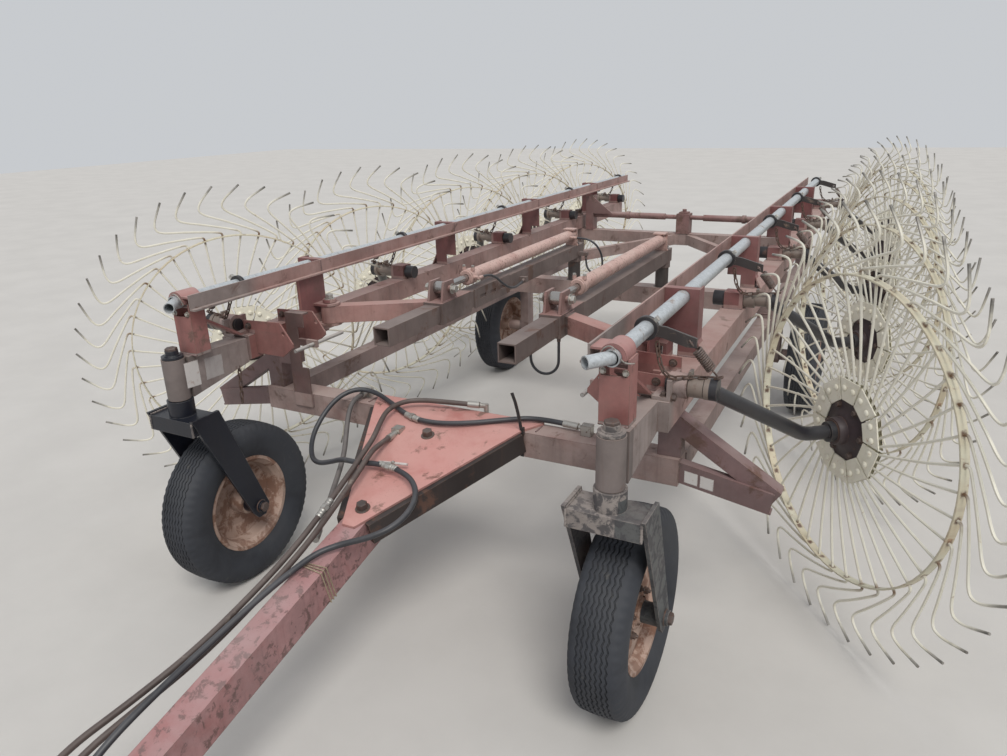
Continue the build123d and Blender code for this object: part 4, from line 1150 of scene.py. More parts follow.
@dataclass(frozen=True)
class Studio:
    """Pale floor, sky light and a soft sun."""

    floor_size: float = 60.0
    floor_tone: Point = (0.62, 0.6, 0.575)
    sky: float = 0.62
    sun: float = 1.7
    sun_turn: Point = (36.0, 14.0, 20.0)
    sun_spread: float = 24.0

    def build(self, library: Library) -> None:
        """Adds the floor and the lights.

        Args:
            library: Material maker.
        """
        material, graph = library.start("pale_concrete")
        place = graph.place()
        cloud = graph.noise(place, 1.6, 9.0, 0.6)
        fine = graph.noise(place, 120.0, 4.0)
        tone = graph.mix(graph.span(cloud, 0.3, 0.7), rgba([c * 0.93 for c in self.floor_tone]),
                         rgba(self.floor_tone))
        bump = graph.add("ShaderNodeBump", {"Strength": 0.12, "Distance": 0.002, "Height": fine}).outputs[0]
        library.close(graph, {"Base Color": tone, "Roughness": 0.9, "Normal": bump})
        maker = Maker("studio_floor", material)
        s = self.floor_size / 2
        corners = [maker.mesh.verts.new((x, y, 0.0)) for x, y in ((-s, -s), (s, -s), (s, s), (-s, s))]
        maker.mesh.faces.new(corners)
        maker.finish("")
        world = bpy.data.worlds.new("studio_sky")
        world.use_nodes = True
        background = world.node_tree.nodes["Background"]
        background.inputs[0].default_value = (0.93, 0.96, 1.0, 1.0)
        background.inputs[1].default_value = self.sky
        bpy.context.scene.world = world
        light = bpy.data.lights.new("studio_sun", "SUN")
        light.energy = self.sun
        light.angle = math.radians(self.sun_spread)
        light.color = (1.0, 0.97, 0.92)
        lamp = linked("studio_sun", light)
        lamp.rotation_euler = [math.radians(angle) for angle in self.sun_turn]
        bpy.context.scene.view_settings.view_transform = "Standard"
        log.info("studio: floor, sky and sun")


# Hoses


@dataclass(frozen=True)
class HoseSpec:
    """A hose and how it lies."""

    node: str
    body: str
    finish: Finish
    radius: float
    length: float
    points: tuple[Point, ...]
    far_end: str = "object"
    lay: str = "loose"
    joints: tuple[float, ...] = ()


HOSES = (
    HoseSpec(
        "hose_supply_black", "frame", HOSE_RUBBER, 0.010, 3.871,
        (
            (0.470, 0.598, 0.773), (0.357, 0.606, 0.774), (0.261, 0.546, 0.774), (0.128, 0.470, 0.765),
            (0.000, 0.432, 0.758), (-0.124, 0.446, 0.758), (-0.282, 0.530, 0.773), (-0.370, 0.556, 0.790),
            (-0.440, 0.530, 0.804), (-0.494, 0.466, 0.780), (-0.524, 0.392, 0.718), (-0.524, 0.318, 0.652),
            (-0.472, 0.245, 0.608), (-0.400, 0.200, 0.612), (-0.320, 0.188, 0.640), (-0.240, 0.160, 0.680),
            (-0.137, 0.121, 0.704), (-0.060, 0.141, 0.706), (0.019, 0.136, 0.706), (0.114, 0.100, 0.702),
            (0.180, 0.030, 0.690), (0.205, -0.055, 0.672), (0.185, -0.130, 0.650), (0.125, -0.180, 0.626),
            (0.050, -0.215, 0.606), (-0.005, -0.270, 0.592), (-0.035, -0.360, 0.568),
            (-0.060, -0.464, 0.541), (-0.086, -0.640, 0.496), (-0.108, -0.820, 0.452),
            (-0.120, -0.985, 0.407), (-0.150, -1.110, 0.305), (-0.195, -1.205, 0.180),
            (-0.235, -1.288, 0.059), (-0.262, -1.362, 0.015), (-0.280, -1.425, 0.015),
        ),
        far_end="connector", joints=(0.13, 0.505),
    ),
    HoseSpec(
        "hose_supply_outer", "frame", HOSE_BROWN, 0.010, 2.469,
        (
            (0.060, 0.592, 0.789), (-0.040, 0.566, 0.793), (-0.130, 0.552, 0.791), (-0.190, 0.505, 0.793),
            (-0.213, 0.425, 0.784), (-0.190, 0.340, 0.762), (-0.152, 0.245, 0.745), (-0.121, 0.150, 0.740),
            (-0.102, 0.031, 0.706), (-0.088, -0.133, 0.650), (-0.086, -0.295, 0.590),
            (-0.104, -0.480, 0.527), (-0.122, -0.680, 0.474), (-0.178, -0.860, 0.420),
            (-0.250, -1.020, 0.362), (-0.310, -1.140, 0.240), (-0.350, -1.230, 0.120),
            (-0.372, -1.296, 0.053), (-0.390, -1.364, 0.015), (-0.402, -1.425, 0.015),
        ),
        far_end="connector", joints=(0.47,),
    ),
    HoseSpec(
        "hose_supply_inner", "frame", HOSE_BROWN, 0.010, 1.964,
        (
            (-0.124, 0.300, 0.728), (-0.112, 0.225, 0.735), (-0.097, 0.150, 0.737), (-0.077, 0.040, 0.703),
            (-0.062, -0.133, 0.644), (-0.060, -0.295, 0.582), (-0.079, -0.480, 0.519),
            (-0.096, -0.680, 0.466), (-0.146, -0.850, 0.415), (-0.196, -1.010, 0.362),
            (-0.250, -1.130, 0.250), (-0.290, -1.220, 0.130), (-0.310, -1.290, 0.057),
            (-0.325, -1.362, 0.015), (-0.336, -1.425, 0.015),
        ),
        far_end="connector",
    ),
    HoseSpec(
        "hose_supply_grey", "frame", HOSE_GREY, 0.010, 0.789,
        (
            (-0.430, 0.544, 0.771), (-0.429, 0.490, 0.772), (-0.416, 0.432, 0.738), (-0.386, 0.372, 0.684),
            (-0.345, 0.300, 0.630), (-0.295, 0.205, 0.605), (-0.235, 0.090, 0.590), (-0.175, -0.020, 0.578),
            (-0.125, -0.125, 0.562),
        ),
    ),
    HoseSpec(
        "hose_line_front", "swing_left", HOSE_RUBBER, 0.006, 0.453,
        (
            (-0.214, 1.236, 1.152), (-0.214, 1.305, 1.150), (-0.211, 1.375, 1.120), (-0.206, 1.435, 1.075),
            (-0.203, 1.505, 1.040), (-0.205, 1.585, 1.030), (-0.214, 1.660, 1.040),
        ),
    ),
    HoseSpec(
        "hose_line_rear", "swing_left", HOSE_RUBBER, 0.006, 0.482,
        (
            (-0.205, 2.400, 1.150), (-0.145, 2.402, 1.150), (-0.092, 2.415, 1.118), (-0.068, 2.440, 1.065),
            (-0.066, 2.464, 1.010), (-0.072, 2.474, 0.960), (-0.106, 2.484, 0.925), (-0.155, 2.500, 0.925),
            (-0.190, 2.512, 0.962), (-0.193, 2.518, 1.003),
        ),
    ),
    HoseSpec(
        "hose_line_slide", "slide_right", HOSE_RUBBER, 0.006, 0.383,
        (
            (0.184, 0.920, 1.000), (0.184, 0.919, 0.940), (0.184, 0.917, 0.875), (0.222, 0.915, 0.838),
            (0.274, 0.915, 0.838), (0.312, 0.917, 0.875), (0.312, 0.919, 0.935), (0.312, 0.920, 0.985),
        ),
    ),
)


class Hoses:
    """The free hoses, their couplers and the crimped sleeves on them.

    Args:
        site: The shared frame.
        library: Material maker.
    """

    def __init__(self, site: Site, library: Library) -> None:
        """Keeps both."""
        self.site = site
        self.library = library

    def build(self) -> None:
        """Adds every hose with what goes on it."""
        coupler_node_taken = False
        for spec in HOSES:
            points = [self.site.at(point) for point in spec.points]
            hose = nurbs("dress_" + spec.node, points, spec.radius, 8, sides=4)
            hose.data.materials.append(self.library.get(spec.finish))
            with_pieces = [self._sleeve(spec, points, share) for share in spec.joints]
            if spec.far_end == "connector":
                coupler = self._coupler(spec, points)
                with_pieces.append(coupler)
                if not coupler_node_taken:
                    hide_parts("hose_couplers")
                    coupler_node_taken = True
            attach(hose, spec.body)
            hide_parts(spec.node)
            tuple(points[0])
            log.info("hose: %s", spec.node)

    def _sleeve(self, spec: HoseSpec, points: Sequence[Vector], share: float) -> bpy.types.Object:
        """Pair of crimped ferrules with a hexagon union between them, part of the way along a hose.

        Args:
            spec: The hose.
            points: Its control points.
            share: How far along it they are, from 0 to 1.
        Returns:
            The piece.
        """
        line = spline_points(points, 16)
        index = int(share * (len(line) - 1))
        middle = line[index]
        along = (line[index + 6] - line[index - 6]).normalized()
        maker = Maker("dress_union_%s_%02d" % (spec.node, round(share * 100)), self.library.get(ZINC))
        r = spec.radius
        for way in (-1, 1):
            matrix = frame_at(middle + along * way * 0.009, along * way)
            crimps = ((0.9, 0.0), (1.25, 0.0), (1.25, 0.006), (1.12, 0.008), (1.22, 0.011), (1.22, 0.017),
                      (1.1, 0.019), (1.22, 0.022), (1.22, 0.028), (1.02, 0.031), (0.9, 0.031))
            maker.lathe([(r * share_out, z) for share_out, z in crimps], matrix, 20)
        maker.prism(hexagon(r * 1.55), -0.009, 0.009, frame_at(middle, along), 0.001)
        return maker.finish(spec.body)

    def _coupler(self, spec: HoseSpec, points: Sequence[Vector]) -> bpy.types.Object:
        """Quick coupler on the free end: crimped ferrule, hexagon, sleeve and nose.

        Args:
            spec: The hose.
            points: Its control points.
        Returns:
            The piece.
        """
        along = (points[-1] - points[-2]).normalized()
        flat = Vector((along.x, along.y, 0.0)).normalized()
        maker = Maker("dress_coupler_" + spec.node, self.library.get(ZINC))
        start = points[-1]
        ferrule = [(0.0, -0.012), (0.0118, -0.012), (0.013, -0.008), (0.013, 0.006), (0.0122, 0.008),
                   (0.013, 0.011), (0.013, 0.019), (0.0122, 0.021), (0.013, 0.024), (0.013, 0.032),
                   (0.0105, 0.036), (0.0, 0.036)]
        maker.lathe(ferrule, frame_at(start, flat), 24)
        maker.prism(hexagon(0.0138), 0.035, 0.046, frame_at(start, flat), 0.001)
        nose = [(0.0, 0.044), (0.0115, 0.044), (0.0135, 0.047), (0.0135, 0.062), (0.0118, 0.064),
                (0.0118, 0.067), (0.009, 0.069), (0.009, 0.076), (0.0075, 0.078), (0.0, 0.078)]
        maker.lathe(nose, frame_at(start, flat), 28)
        return maker.finish(spec.body)


# Tine wheels


@dataclass(frozen=True)
class RakeWheel:
    """Tine wheel: bent round tines through a rolled band, clamped between ten plates on a dished hub."""

    hub: Point = (1.425, 0.900, 0.795)
    toe: float = 52.4
    tines: int = TINE_COUNT
    tine_radius: float = 0.0048
    plates: int = 10
    plate_outer: float = 0.192
    plate_inner: float = 0.104
    band_radius: float = 0.545
    band_width: float = 0.030
    tip_radius: float = 0.787
    smooth: float = 38.0

    def tine(self) -> bpy.types.Mesh:
        """One tine: straight to the band, bent back outside it and curved at the tip.

        Returns:
            Its mesh.
        """
        spots = ((0.150, 0.0), (0.34, 15.2), (0.50, 20.4), (BAND_RADIUS, HOLE_ANGLE), (0.561, 21.6),
                 (0.569, 20.2), (0.592, 12.5), (0.630, 4.0), (0.662, -1.6), (0.690, -3.2), (0.722, -1.6),
                 (0.756, 1.6), (self.tip_radius, 4.2))
        points = []
        for radius, angle in spots:
            turn = math.radians(angle)
            points.append((radius * math.cos(turn), radius * math.sin(turn), TINE_HEIGHT))
        return bar_mesh(points, self.tine_radius, 3)

    def mesh(self, library: Library, side: Side) -> bpy.types.Mesh:
        """Mesh of the whole wheel about its hub.

        Args:
            library: Material maker.
            side: Side that it is for.
        Returns:
            The mesh, with its materials.
        """
        paint = [library.tine_material, library.band_material]
        # The last slot is the lighter copy of the cream paint: painted light on the clamp plates and their
        # bolt heads.
        paint += [library.get(finish) for finish in (MAROON_HUB, BOLT_DARK, CREAM_CLAMP_LIT)]
        maker = Maker("tine_wheel_" + side.label, *paint)
        tine = self.tine()
        for index in range(self.tines):
            maker.absorb(tine, Matrix.Rotation(math.tau * index / self.tines, 4, "Z"))
        bpy.data.meshes.remove(tine)
        flat = Matrix.Identity(4)
        r, half = self.band_radius, self.band_width / 2
        low, high = TINE_HEIGHT - half, TINE_HEIGHT + half
        band = [(r - 0.003, low), (r + 0.002, low), (r + 0.003, low + 0.001), (r + 0.003, high - 0.001),
                (r + 0.002, high), (r - 0.003, high)]
        maker.lathe(band, flat, 80, 1)
        for index in range(self.plates):
            self._clamp(maker, math.tau * (index + 0.5) / self.plates)
        disc = [(0.026, 0.002), (0.060, 0.002), (0.072, 0.004), (0.100, 0.0045), (0.117, 0.006),
                (0.117, 0.0115), (0.098, 0.012), (0.080, 0.014), (0.062, 0.026), (0.050, 0.030),
                (0.050, 0.052), (0.046, 0.0595), (0.026, 0.0595)]
        maker.lathe(disc, flat, 48, 2)
        seal = [(0.0262, 0.0585), (0.040, 0.0585), (0.040, 0.0612), (0.0262, 0.0612)]
        maker.lathe(seal, flat, 32, 3)
        for index in range(6):
            turn = math.tau * index / 6
            spot = Vector((0.092 * math.cos(turn), 0.092 * math.sin(turn), 0.0122))
            maker.bolt(spot, UP, 0.017, 3)
            maker.bolt(Vector((spot.x, spot.y, 0.0045)), DOWN, 0.017, 3, washer=False)
        maker.lathe([(0.0, -0.0045), (0.020, -0.0045), (0.031, 0.0), (0.034, 0.0035),
                     (0.0, 0.0035)], flat, 24, 3)
        bmesh.ops.recalc_face_normals(maker.mesh, faces=maker.mesh.faces)
        data = bpy.data.meshes.new(maker.name)
        if side is Side.LEFT:
            bmesh.ops.scale(maker.mesh, vec=(-1, 1, 1), verts=maker.mesh.verts)
            bmesh.ops.reverse_faces(maker.mesh, faces=maker.mesh.faces)
        maker.mesh.to_mesh(data)
        maker.mesh.free()
        return shaded(data, paint, self.smooth)

    def _clamp(self, maker: Maker, turn: float) -> None:
        """Pair of plates that hold four tines, with two round-headed bolts.

        Args:
            maker: Mesh to add to.
            turn: Middle of the plates, as an angle.
        """
        spread = math.pi / self.plates - 0.024
        outer = self.plate_outer * math.cos(math.pi / self.plates)
        place = Matrix.Rotation(turn, 4, "Z")
        slope = math.tan(spread)
        outline = [(self.plate_inner, -self.plate_inner * slope), (outer, -outer * slope),
                   (outer, outer * slope), (self.plate_inner, self.plate_inner * slope)]
        # Slot 4 gives the plates and the round heads the cream paint with painted light.
        maker.prism(outline, 0.0125, 0.0172, place, 0.0012, 4)
        under = place @ Matrix.Rotation(math.pi, 4, "X")
        maker.prism([(x, -y) for x, y in outline], -0.0035, 0.0012, under, 0.0012, 4)
        maker.prism(outline, -0.0012, 0.0035, place, 0.0, 4)
        for way in (-1, 1):
            spot = place @ Vector((0.150, way * 0.024, 0.0172))
            maker.dome(spot, UP, 0.0115, 0.0075, 4)
            below = place @ Vector((0.150, way * 0.024, -0.0012))
            maker.bolt(below, DOWN, 0.015, 3, washer=False)

    def build(self, site: Site, library: Library) -> None:
        """Puts the ten wheels on their hubs.

        Args:
            site: The shared frame.
            library: Material maker.
        """
        toe = math.radians(self.toe)
        for side in Side:
            data = self.mesh(library, side)
            sign = side.value
            across = Vector((math.cos(toe) * sign, -math.sin(toe), 0.0)) * sign
            inner = Vector((-math.sin(toe) * sign, -math.cos(toe), 0.0))
            for index in range(WHEEL_COUNT):
                node = "rake_wheel_%s_%d" % (side.label, index + 1)
                hub = site.at((self.hub[0], self.hub[1] + WHEEL_PITCH * index, self.hub[2]), side)
                piece = linked("dress_" + node, data)
                piece.matrix_world = Matrix.Translation(hub) @ turned(across, inner.cross(across), inner)
                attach(piece, node)
                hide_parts(node)
            log.info("rake wheels: %s side, %d faces each", side.label, len(data.polygons))


# Tyres and rims


@dataclass(frozen=True)
class Tyre:
    """Ribbed implement tyre with zigzag grooves, about the X axis."""

    radius: float = 0.345
    half: float = 0.090
    bead: float = 0.205
    steps: int = 396
    groove_depth: float = 0.0055
    grooves: tuple[float, ...] = (-0.047, -0.0315, -0.0157, 0.0, 0.0157, 0.0315, 0.047)
    smooth: float = 40.0

    def profile(self, angle_index: int) -> list[tuple[float, float]]:
        """Section of the tyre at one step.

        Args:
            angle_index: Number of the step round the tyre.
        Returns:
            Points of (x, radius) from bead to bead.
        """
        zig = 0.0030 * (1 if (angle_index // 3) % 2 else -1)
        blend = (angle_index % 3) / 3
        ahead = -zig
        wave = zig + (ahead - zig) * blend
        bar = 0.0028 if (angle_index // 3) % 2 else 0.0
        r = self.radius
        bead = self.bead
        side = [(-0.064, bead + 0.001), (-0.070, bead + 0.012), (-0.078, bead + 0.026),
                (-0.0835, bead + 0.042), (-0.0865, bead + 0.058), (-0.0885, r - 0.072),
                (-0.0895, r - 0.060), (-0.0885, r - 0.050), (-0.0872, r - 0.044),
                (-0.0835, r - 0.030 - bar * 0.6), (-0.078, r - 0.017 - bar), (-0.070, r - 0.008 - bar),
                (-0.0625, r - 0.0042)]
        tread = []
        deep = self.groove_depth
        for centre in self.grooves:
            x = centre + wave
            drop = 0.004 * (x / 0.06) ** 2
            for offset, depth in ((-0.0034, 0.0), (-0.0018, deep), (0.0018, deep), (0.0034, 0.0)):
                tread.append((x + offset, r - 0.0006 - drop - depth))
        mirrored = [(-x, radius) for x, radius in reversed(side)]
        return side + tread + mirrored

    def mesh(self, library: Library) -> bpy.types.Mesh:
        """Mesh of the tyre.

        Args:
            library: Material maker.
        Returns:
            The mesh, with its material.
        """
        built = bmesh.new()
        rings = []
        for index in range(self.steps):
            angle = math.tau * index / self.steps
            section = [(x, r * math.cos(angle), r * math.sin(angle)) for x, r in self.profile(index)]
            rings.append([built.verts.new(spot) for spot in section])
        count = len(rings[0])
        for index, ring in enumerate(rings):
            following = rings[(index + 1) % self.steps]
            for step in range(count):
                other = (step + 1) % count
                built.faces.new((ring[step], ring[other], following[other], following[step]))
        bmesh.ops.recalc_face_normals(built, faces=built.faces)
        data = bpy.data.meshes.new("ribbed_tyre")
        built.to_mesh(data)
        built.free()
        return shaded(data, [library.get(TYRE_RUBBER)], self.smooth)


@dataclass(frozen=True)
class RoadWheels:
    """The two caster wheels and the two main wheels."""

    caster: Point = (0.865, 0.200, 0.345)
    main: Point = (1.080, 3.110, 0.345)
    bolts: int = 5
    bolt_radius: float = 0.082
    valve_turn: float = 2.2
    valve_radius: float = 0.168

    def build(self, site: Site, library: Library) -> None:
        """Adds the tyres, wheel bolts, hub caps and valves.

        Args:
            site: The shared frame.
            library: Material maker.
        """
        tyre = Tyre().mesh(library)
        for side in Side:
            for kind, place in (("caster", self.caster), ("main", self.main)):
                body = "%s_wheel_%s" % (kind, side.label)
                centre = site.at(place, side)
                piece = linked("dress_%s_tyre_%s" % (kind, side.label), tyre)
                piece.matrix_world = Matrix.Translation(centre)
                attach(piece, body)
                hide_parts("%s_tyre_%s" % (kind, side.label))
                self._hub(kind, side, centre, body, library)

    def _hub(self, kind: str, side: Side, centre: Vector, body: str, library: Library) -> None:
        """Wheel bolts, flange and valve on the open side of a rim.

        Args:
            kind: Whether it is a caster or a main wheel.
            side: Its side.
            centre: Its centre, in the shared frame.
            body: Body that it rides on.
            library: Material maker.
        """
        maker = Maker("dress_%s_hub_%s" % (kind, side.label), library.get(BOLT_DARK), library.get(RUST_RIM))
        out = Vector((side.value, 0, 0))
        for index in range(self.bolts):
            turn = math.tau * index / self.bolts + 0.3
            spot = centre + out * 0.0325 + Vector((0, math.cos(turn), math.sin(turn))) * self.bolt_radius
            maker.bolt(spot, out, 0.019, 0, tail=0.016)
        flange = [(0.049, 0.028), (0.062, 0.030), (0.064, 0.0345), (0.058, 0.038),
                  (0.050, 0.039), (0.049, 0.046), (0.0485, 0.046), (0.0485, 0.028)]
        maker.lathe(flange, frame_at(centre, out), 40, 1)
        if kind == "main":
            cap = [(0.0, 0.0605), (0.030, 0.0605), (0.036, 0.064), (0.037, 0.078), (0.033, 0.084),
                   (0.020, 0.088), (0.0, 0.089)]
            maker.lathe(cap, frame_at(centre, out), 32, 1)
        towards = Vector((0, math.cos(self.valve_turn), math.sin(self.valve_turn)))
        stem = centre + towards * self.valve_radius + out * 0.028
        valve = [(0, 0), (0.0055, 0), (0.0048, 0.012), (0.0035, 0.014), (0.0035, 0.028), (0, 0.029)]
        maker.lathe(valve, frame_at(stem, out - towards * 0.4), 12, 0)
        maker.finish(body)


# Springs and chains


@dataclass(frozen=True)
class LiftGear:
    """Springs from the pipe's levers to the arms, slack chains beside them and the stop rings' bolts."""

    coil_radius: float = 0.0150
    wire: float = 0.0032
    link_length: float = 0.030
    link_width: float = 0.018
    link_wire: float = 0.0031

    def spring(self, top: Vector, low: Vector) -> bpy.types.Mesh:
        """Closed-coil spring with a hook at each end.

        Args:
            top: Upper hole.
            low: Lower hole.
        Returns:
            Its mesh.
        """
        run = low - top
        length = run.length
        matrix = frame_at(top, run)
        body_start, body_end = length * 0.22, length * 0.78
        turns = int((body_end - body_start) / (2.1 * self.wire))
        points = [(0.009, 0.0, 0.004), (0.0105, 0.0, -0.006), (0.0, 0.0, -0.0115), (-0.0095, 0.0, -0.004),
                  (-0.006, 0.0, 0.010), (0.0, 0.0, body_start - 0.006)]
        for index in range(turns * 10 + 1):
            angle = math.tau * index / 10
            z = body_start + (body_end - body_start) * index / (turns * 10)
            points.append((self.coil_radius * math.cos(angle), self.coil_radius * math.sin(angle), z))
        points += [(0.0, 0.0, body_end + 0.006), (0.006, 0.0, length - 0.010), (0.0095, 0.0, length + 0.004),
                   (0.0, 0.0, length + 0.0115), (-0.0105, 0.0, length + 0.006), (-0.009, 0.0, length - 0.004)]
        return bar_mesh([matrix @ Vector(point) for point in points], self.wire, 1, sides=1)

    def link(self) -> bpy.types.Mesh:
        """One chain link, long along X.

        Returns:
            Its mesh.
        """
        a, b = self.link_length / 2 - self.link_wire, self.link_width / 2 - self.link_wire
        shares = ((0.45, 1), (1, 1), (1.1, 0), (1, -1), (0.45, -1), (-0.45, -1), (-1, -1), (-1.1, 0),
                  (-1, 1), (-0.45, 1))
        points = [(a * x, b * y, 0) for x, y in shares]
        return bar_mesh(points, self.link_wire, 2, cyclic=True, sides=1)

    def chain(self, maker: Maker, points: Sequence[Vector]) -> None:
        """Adds links along a hanging line.

        Args:
            maker: Mesh to add to.
            points: Control points of the line.
        """
        line = spline_points(points, 24)
        pitch = self.link_length - 2 * self.link_wire - 0.0006
        link = self.link()
        walked, due, count = 0.0, 0.0, 0
        for before, after in zip(line, line[1:]):
            walked += (after - before).length
            if walked >= due:
                along = (after - before).normalized()
                across = along.cross(Vector((0.3, 1.0, 0.2))).normalized()
                if count % 2:
                    across = along.cross(across)
                maker.absorb(link, Matrix.Translation(after) @ turned(along, across, along.cross(across)))
                due += pitch
                count += 1
        bpy.data.meshes.remove(link)

    def build(self, site: Site, library: Library) -> None:
        """Adds springs, chains and ring bolts on both sides.

        Args:
            site: The shared frame.
            library: Material maker.
        """
        for side in Side:
            body = "beam_" + side.label
            springs = Maker("dress_lift_springs_" + side.label, library.get(SPRING_STEEL))
            chains = Maker("dress_lift_chains_" + side.label, library.get(RUSTY_STEEL))
            rings = Maker("dress_ring_bolts_" + side.label, library.get(ZINC), library.get(BLACK_ARM))
            for index in range(WHEEL_COUNT):
                y = RING_Y + WHEEL_PITCH * index
                pivot = ARM_PIVOT_Y + WHEEL_PITCH * index
                top = site.at((LEVER_X, y + 0.007, PIPE_AXIS[1] - 0.030), side)
                low = site.at((1.064, pivot - 0.004, 1.116), side)
                coil = self.spring(top, low)
                springs.absorb(coil)
                bpy.data.meshes.remove(coil)
                hang = [(0.887, y - 0.004, 1.206), (0.892, y - 0.010, 1.176), (0.908, y - 0.018, 1.132),
                        (0.934, y - 0.010, 1.106), (0.975, y + 0.012, 1.108), (1.020, y + 0.030, 1.107),
                        (1.050, y + 0.033, 1.106), (1.068, y + 0.032, 1.112)]
                self.chain(chains, [site.at(point, side) for point in hang])
                collar = site.at((PIPE_AXIS[0] + 0.026, y + 0.007, PIPE_AXIS[1] + 0.026), side)
                out = Vector((side.value, 0, 1)).normalized()
                square = [(-0.008, -0.008), (0.008, -0.008), (0.008, 0.008), (-0.008, 0.008)]
                rings.prism(square, 0.0, 0.014, frame_at(collar, out), 0.0015, 0)
                edge = [(0.0255, -0.0085), (0.0365, -0.0085), (0.0385, -0.0065),
                        (0.0385, 0.0065), (0.0365, 0.0085), (0.0255, 0.0085)]
                middle = site.at((PIPE_AXIS[0], y + 0.007, PIPE_AXIS[1]), side)
                rings.lathe(edge, frame_at(middle, REARWARD), 36, 1)
            piece = springs.finish(body)
            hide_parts("lift_springs_" + side.label)
            chains.finish(body)
            rings.finish(body)


# Fasteners, welds and small gear


class SideGear(Maker):
    """Maker that takes right-hand places and puts them on its own side.

    Args:
        name: Name of the piece.
        site: The shared frame.
        side: Side that the piece is on.
        materials: Its materials, in slot order.
    """

    def __init__(self, name: str, site: Site, side: Side, *materials: bpy.types.Material) -> None:
        """Starts with an empty mesh."""
        super().__init__(name, *materials)
        self.site = site
        self.side = side

    def at(self, x: float, y: float, z: float) -> Vector:
        """Place on this side, in the shared frame."""
        return self.site.at((x, y, z), self.side)

    def bead(self, start: Point, end: Point, radius: float = WELD_RADIUS, slot: int = 0) -> None:
        """Adds a weld bead.

        Args:
            start: Its first point, on the right-hand side.
            end: Its last point.
            radius: Its radius.
            slot: Material slot.
        """
        self.weld(self.at(*start), self.at(*end), radius, slot)


@dataclass(frozen=True)
class PlateGear:
    """Bolts, post and cross pin on the sloping cover plate."""

    bolt_rows: tuple[float, float] = (0.383, -0.036)
    post_x: float = -0.012
    post_y: float = 0.175
    rear_y: float = 0.510
    rear_top: float = 0.758
    pin_reach: Point = (0.055, 0.012, 0.0)

    def top(self, y: float) -> float:
        """Height of the plate's upper face at a Y."""
        return self.rear_top - (self.rear_y - y) * TONGUE_SLOPE

    def build(self, site: Site, library: Library) -> None:
        """Adds the gear.

        Args:
            site: The shared frame.
            library: Material maker.
        """
        tilt = math.atan(TONGUE_SLOPE)
        normal = Vector((0, -math.sin(tilt), math.cos(tilt)))
        paint = map(library.get, (BOLT_DARK, ZINC, BLANK_LABEL))
        maker = Maker("dress_plate_gear", *paint)
        for y in self.bolt_rows:
            maker.bolt(site.at((0.0, y, self.top(y))), normal, 0.034, 0)
        foot = site.at((self.post_x, self.post_y, self.top(self.post_y)))
        post = [(0, 0), (0.011, 0), (0.011, 0.004), (0.0075, 0.006), (0.0075, 0.030), (0.005, 0.034),
                (0, 0.034)]
        maker.lathe(post, frame_at(foot, normal), 16, 1)
        reach = Vector(self.pin_reach)
        pin = [foot + normal * 0.026 - reach, foot + normal * 0.027, foot + normal * 0.026 + reach]
        maker.absorb(bar_mesh(pin, 0.005, 6, sides=2), slot=2)
        maker.finish("frame")


@dataclass(frozen=True)
class FrameWelds:
    """Beads where the tubes of the frame meet."""

    tube_x: tuple[float, float] = (0.852, 0.928)
    front_y: float = 0.6102
    middle_y: tuple[float, float] = (2.490, 2.590)
    hinge_y: tuple[float, float] = (4.080, 4.160)
    corner_x: float = 0.385
    corner_top: float = 0.7505

    def build(self, site: Site, library: Library) -> None:
        """Adds the beads.

        Args:
            site: The shared frame.
            library: Material maker.
        """
        inner, outer = self.tube_x
        seams = [((x, self.front_y, 0.662), (x, self.front_y, 0.738), WELD_RADIUS) for x in (0.850, 0.930)]
        seams.append(((inner, self.front_y, 0.740), (outer, self.front_y, 0.740), WELD_RADIUS))
        seams += [((inner, y, 0.7655), (outer, y, 0.7655), WIDE_WELD_RADIUS) for y in self.middle_y]
        seams.append(((0.670, 0.5098, 0.690), (0.670, 0.5098, 0.749), WELD_RADIUS))
        seams.append(((0.765, 0.501, 0.7495), (0.765, 0.539, 0.7495), WELD_RADIUS))
        seams += [((inner, y, 0.8395), (outer, y, 0.8395), WELD_RADIUS) for y in self.hinge_y]
        maker = Maker("dress_frame_welds", library.get(RED_DARK))
        for side in Side:
            for start, end, radius in seams:
                maker.weld(site.at(start, side), site.at(end, side), radius)
        for x in (-self.corner_x, self.corner_x):
            maker.weld(site.at((x, 0.590, self.corner_top)), site.at((x, 0.530, self.corner_top)))
        maker.finish("frame")


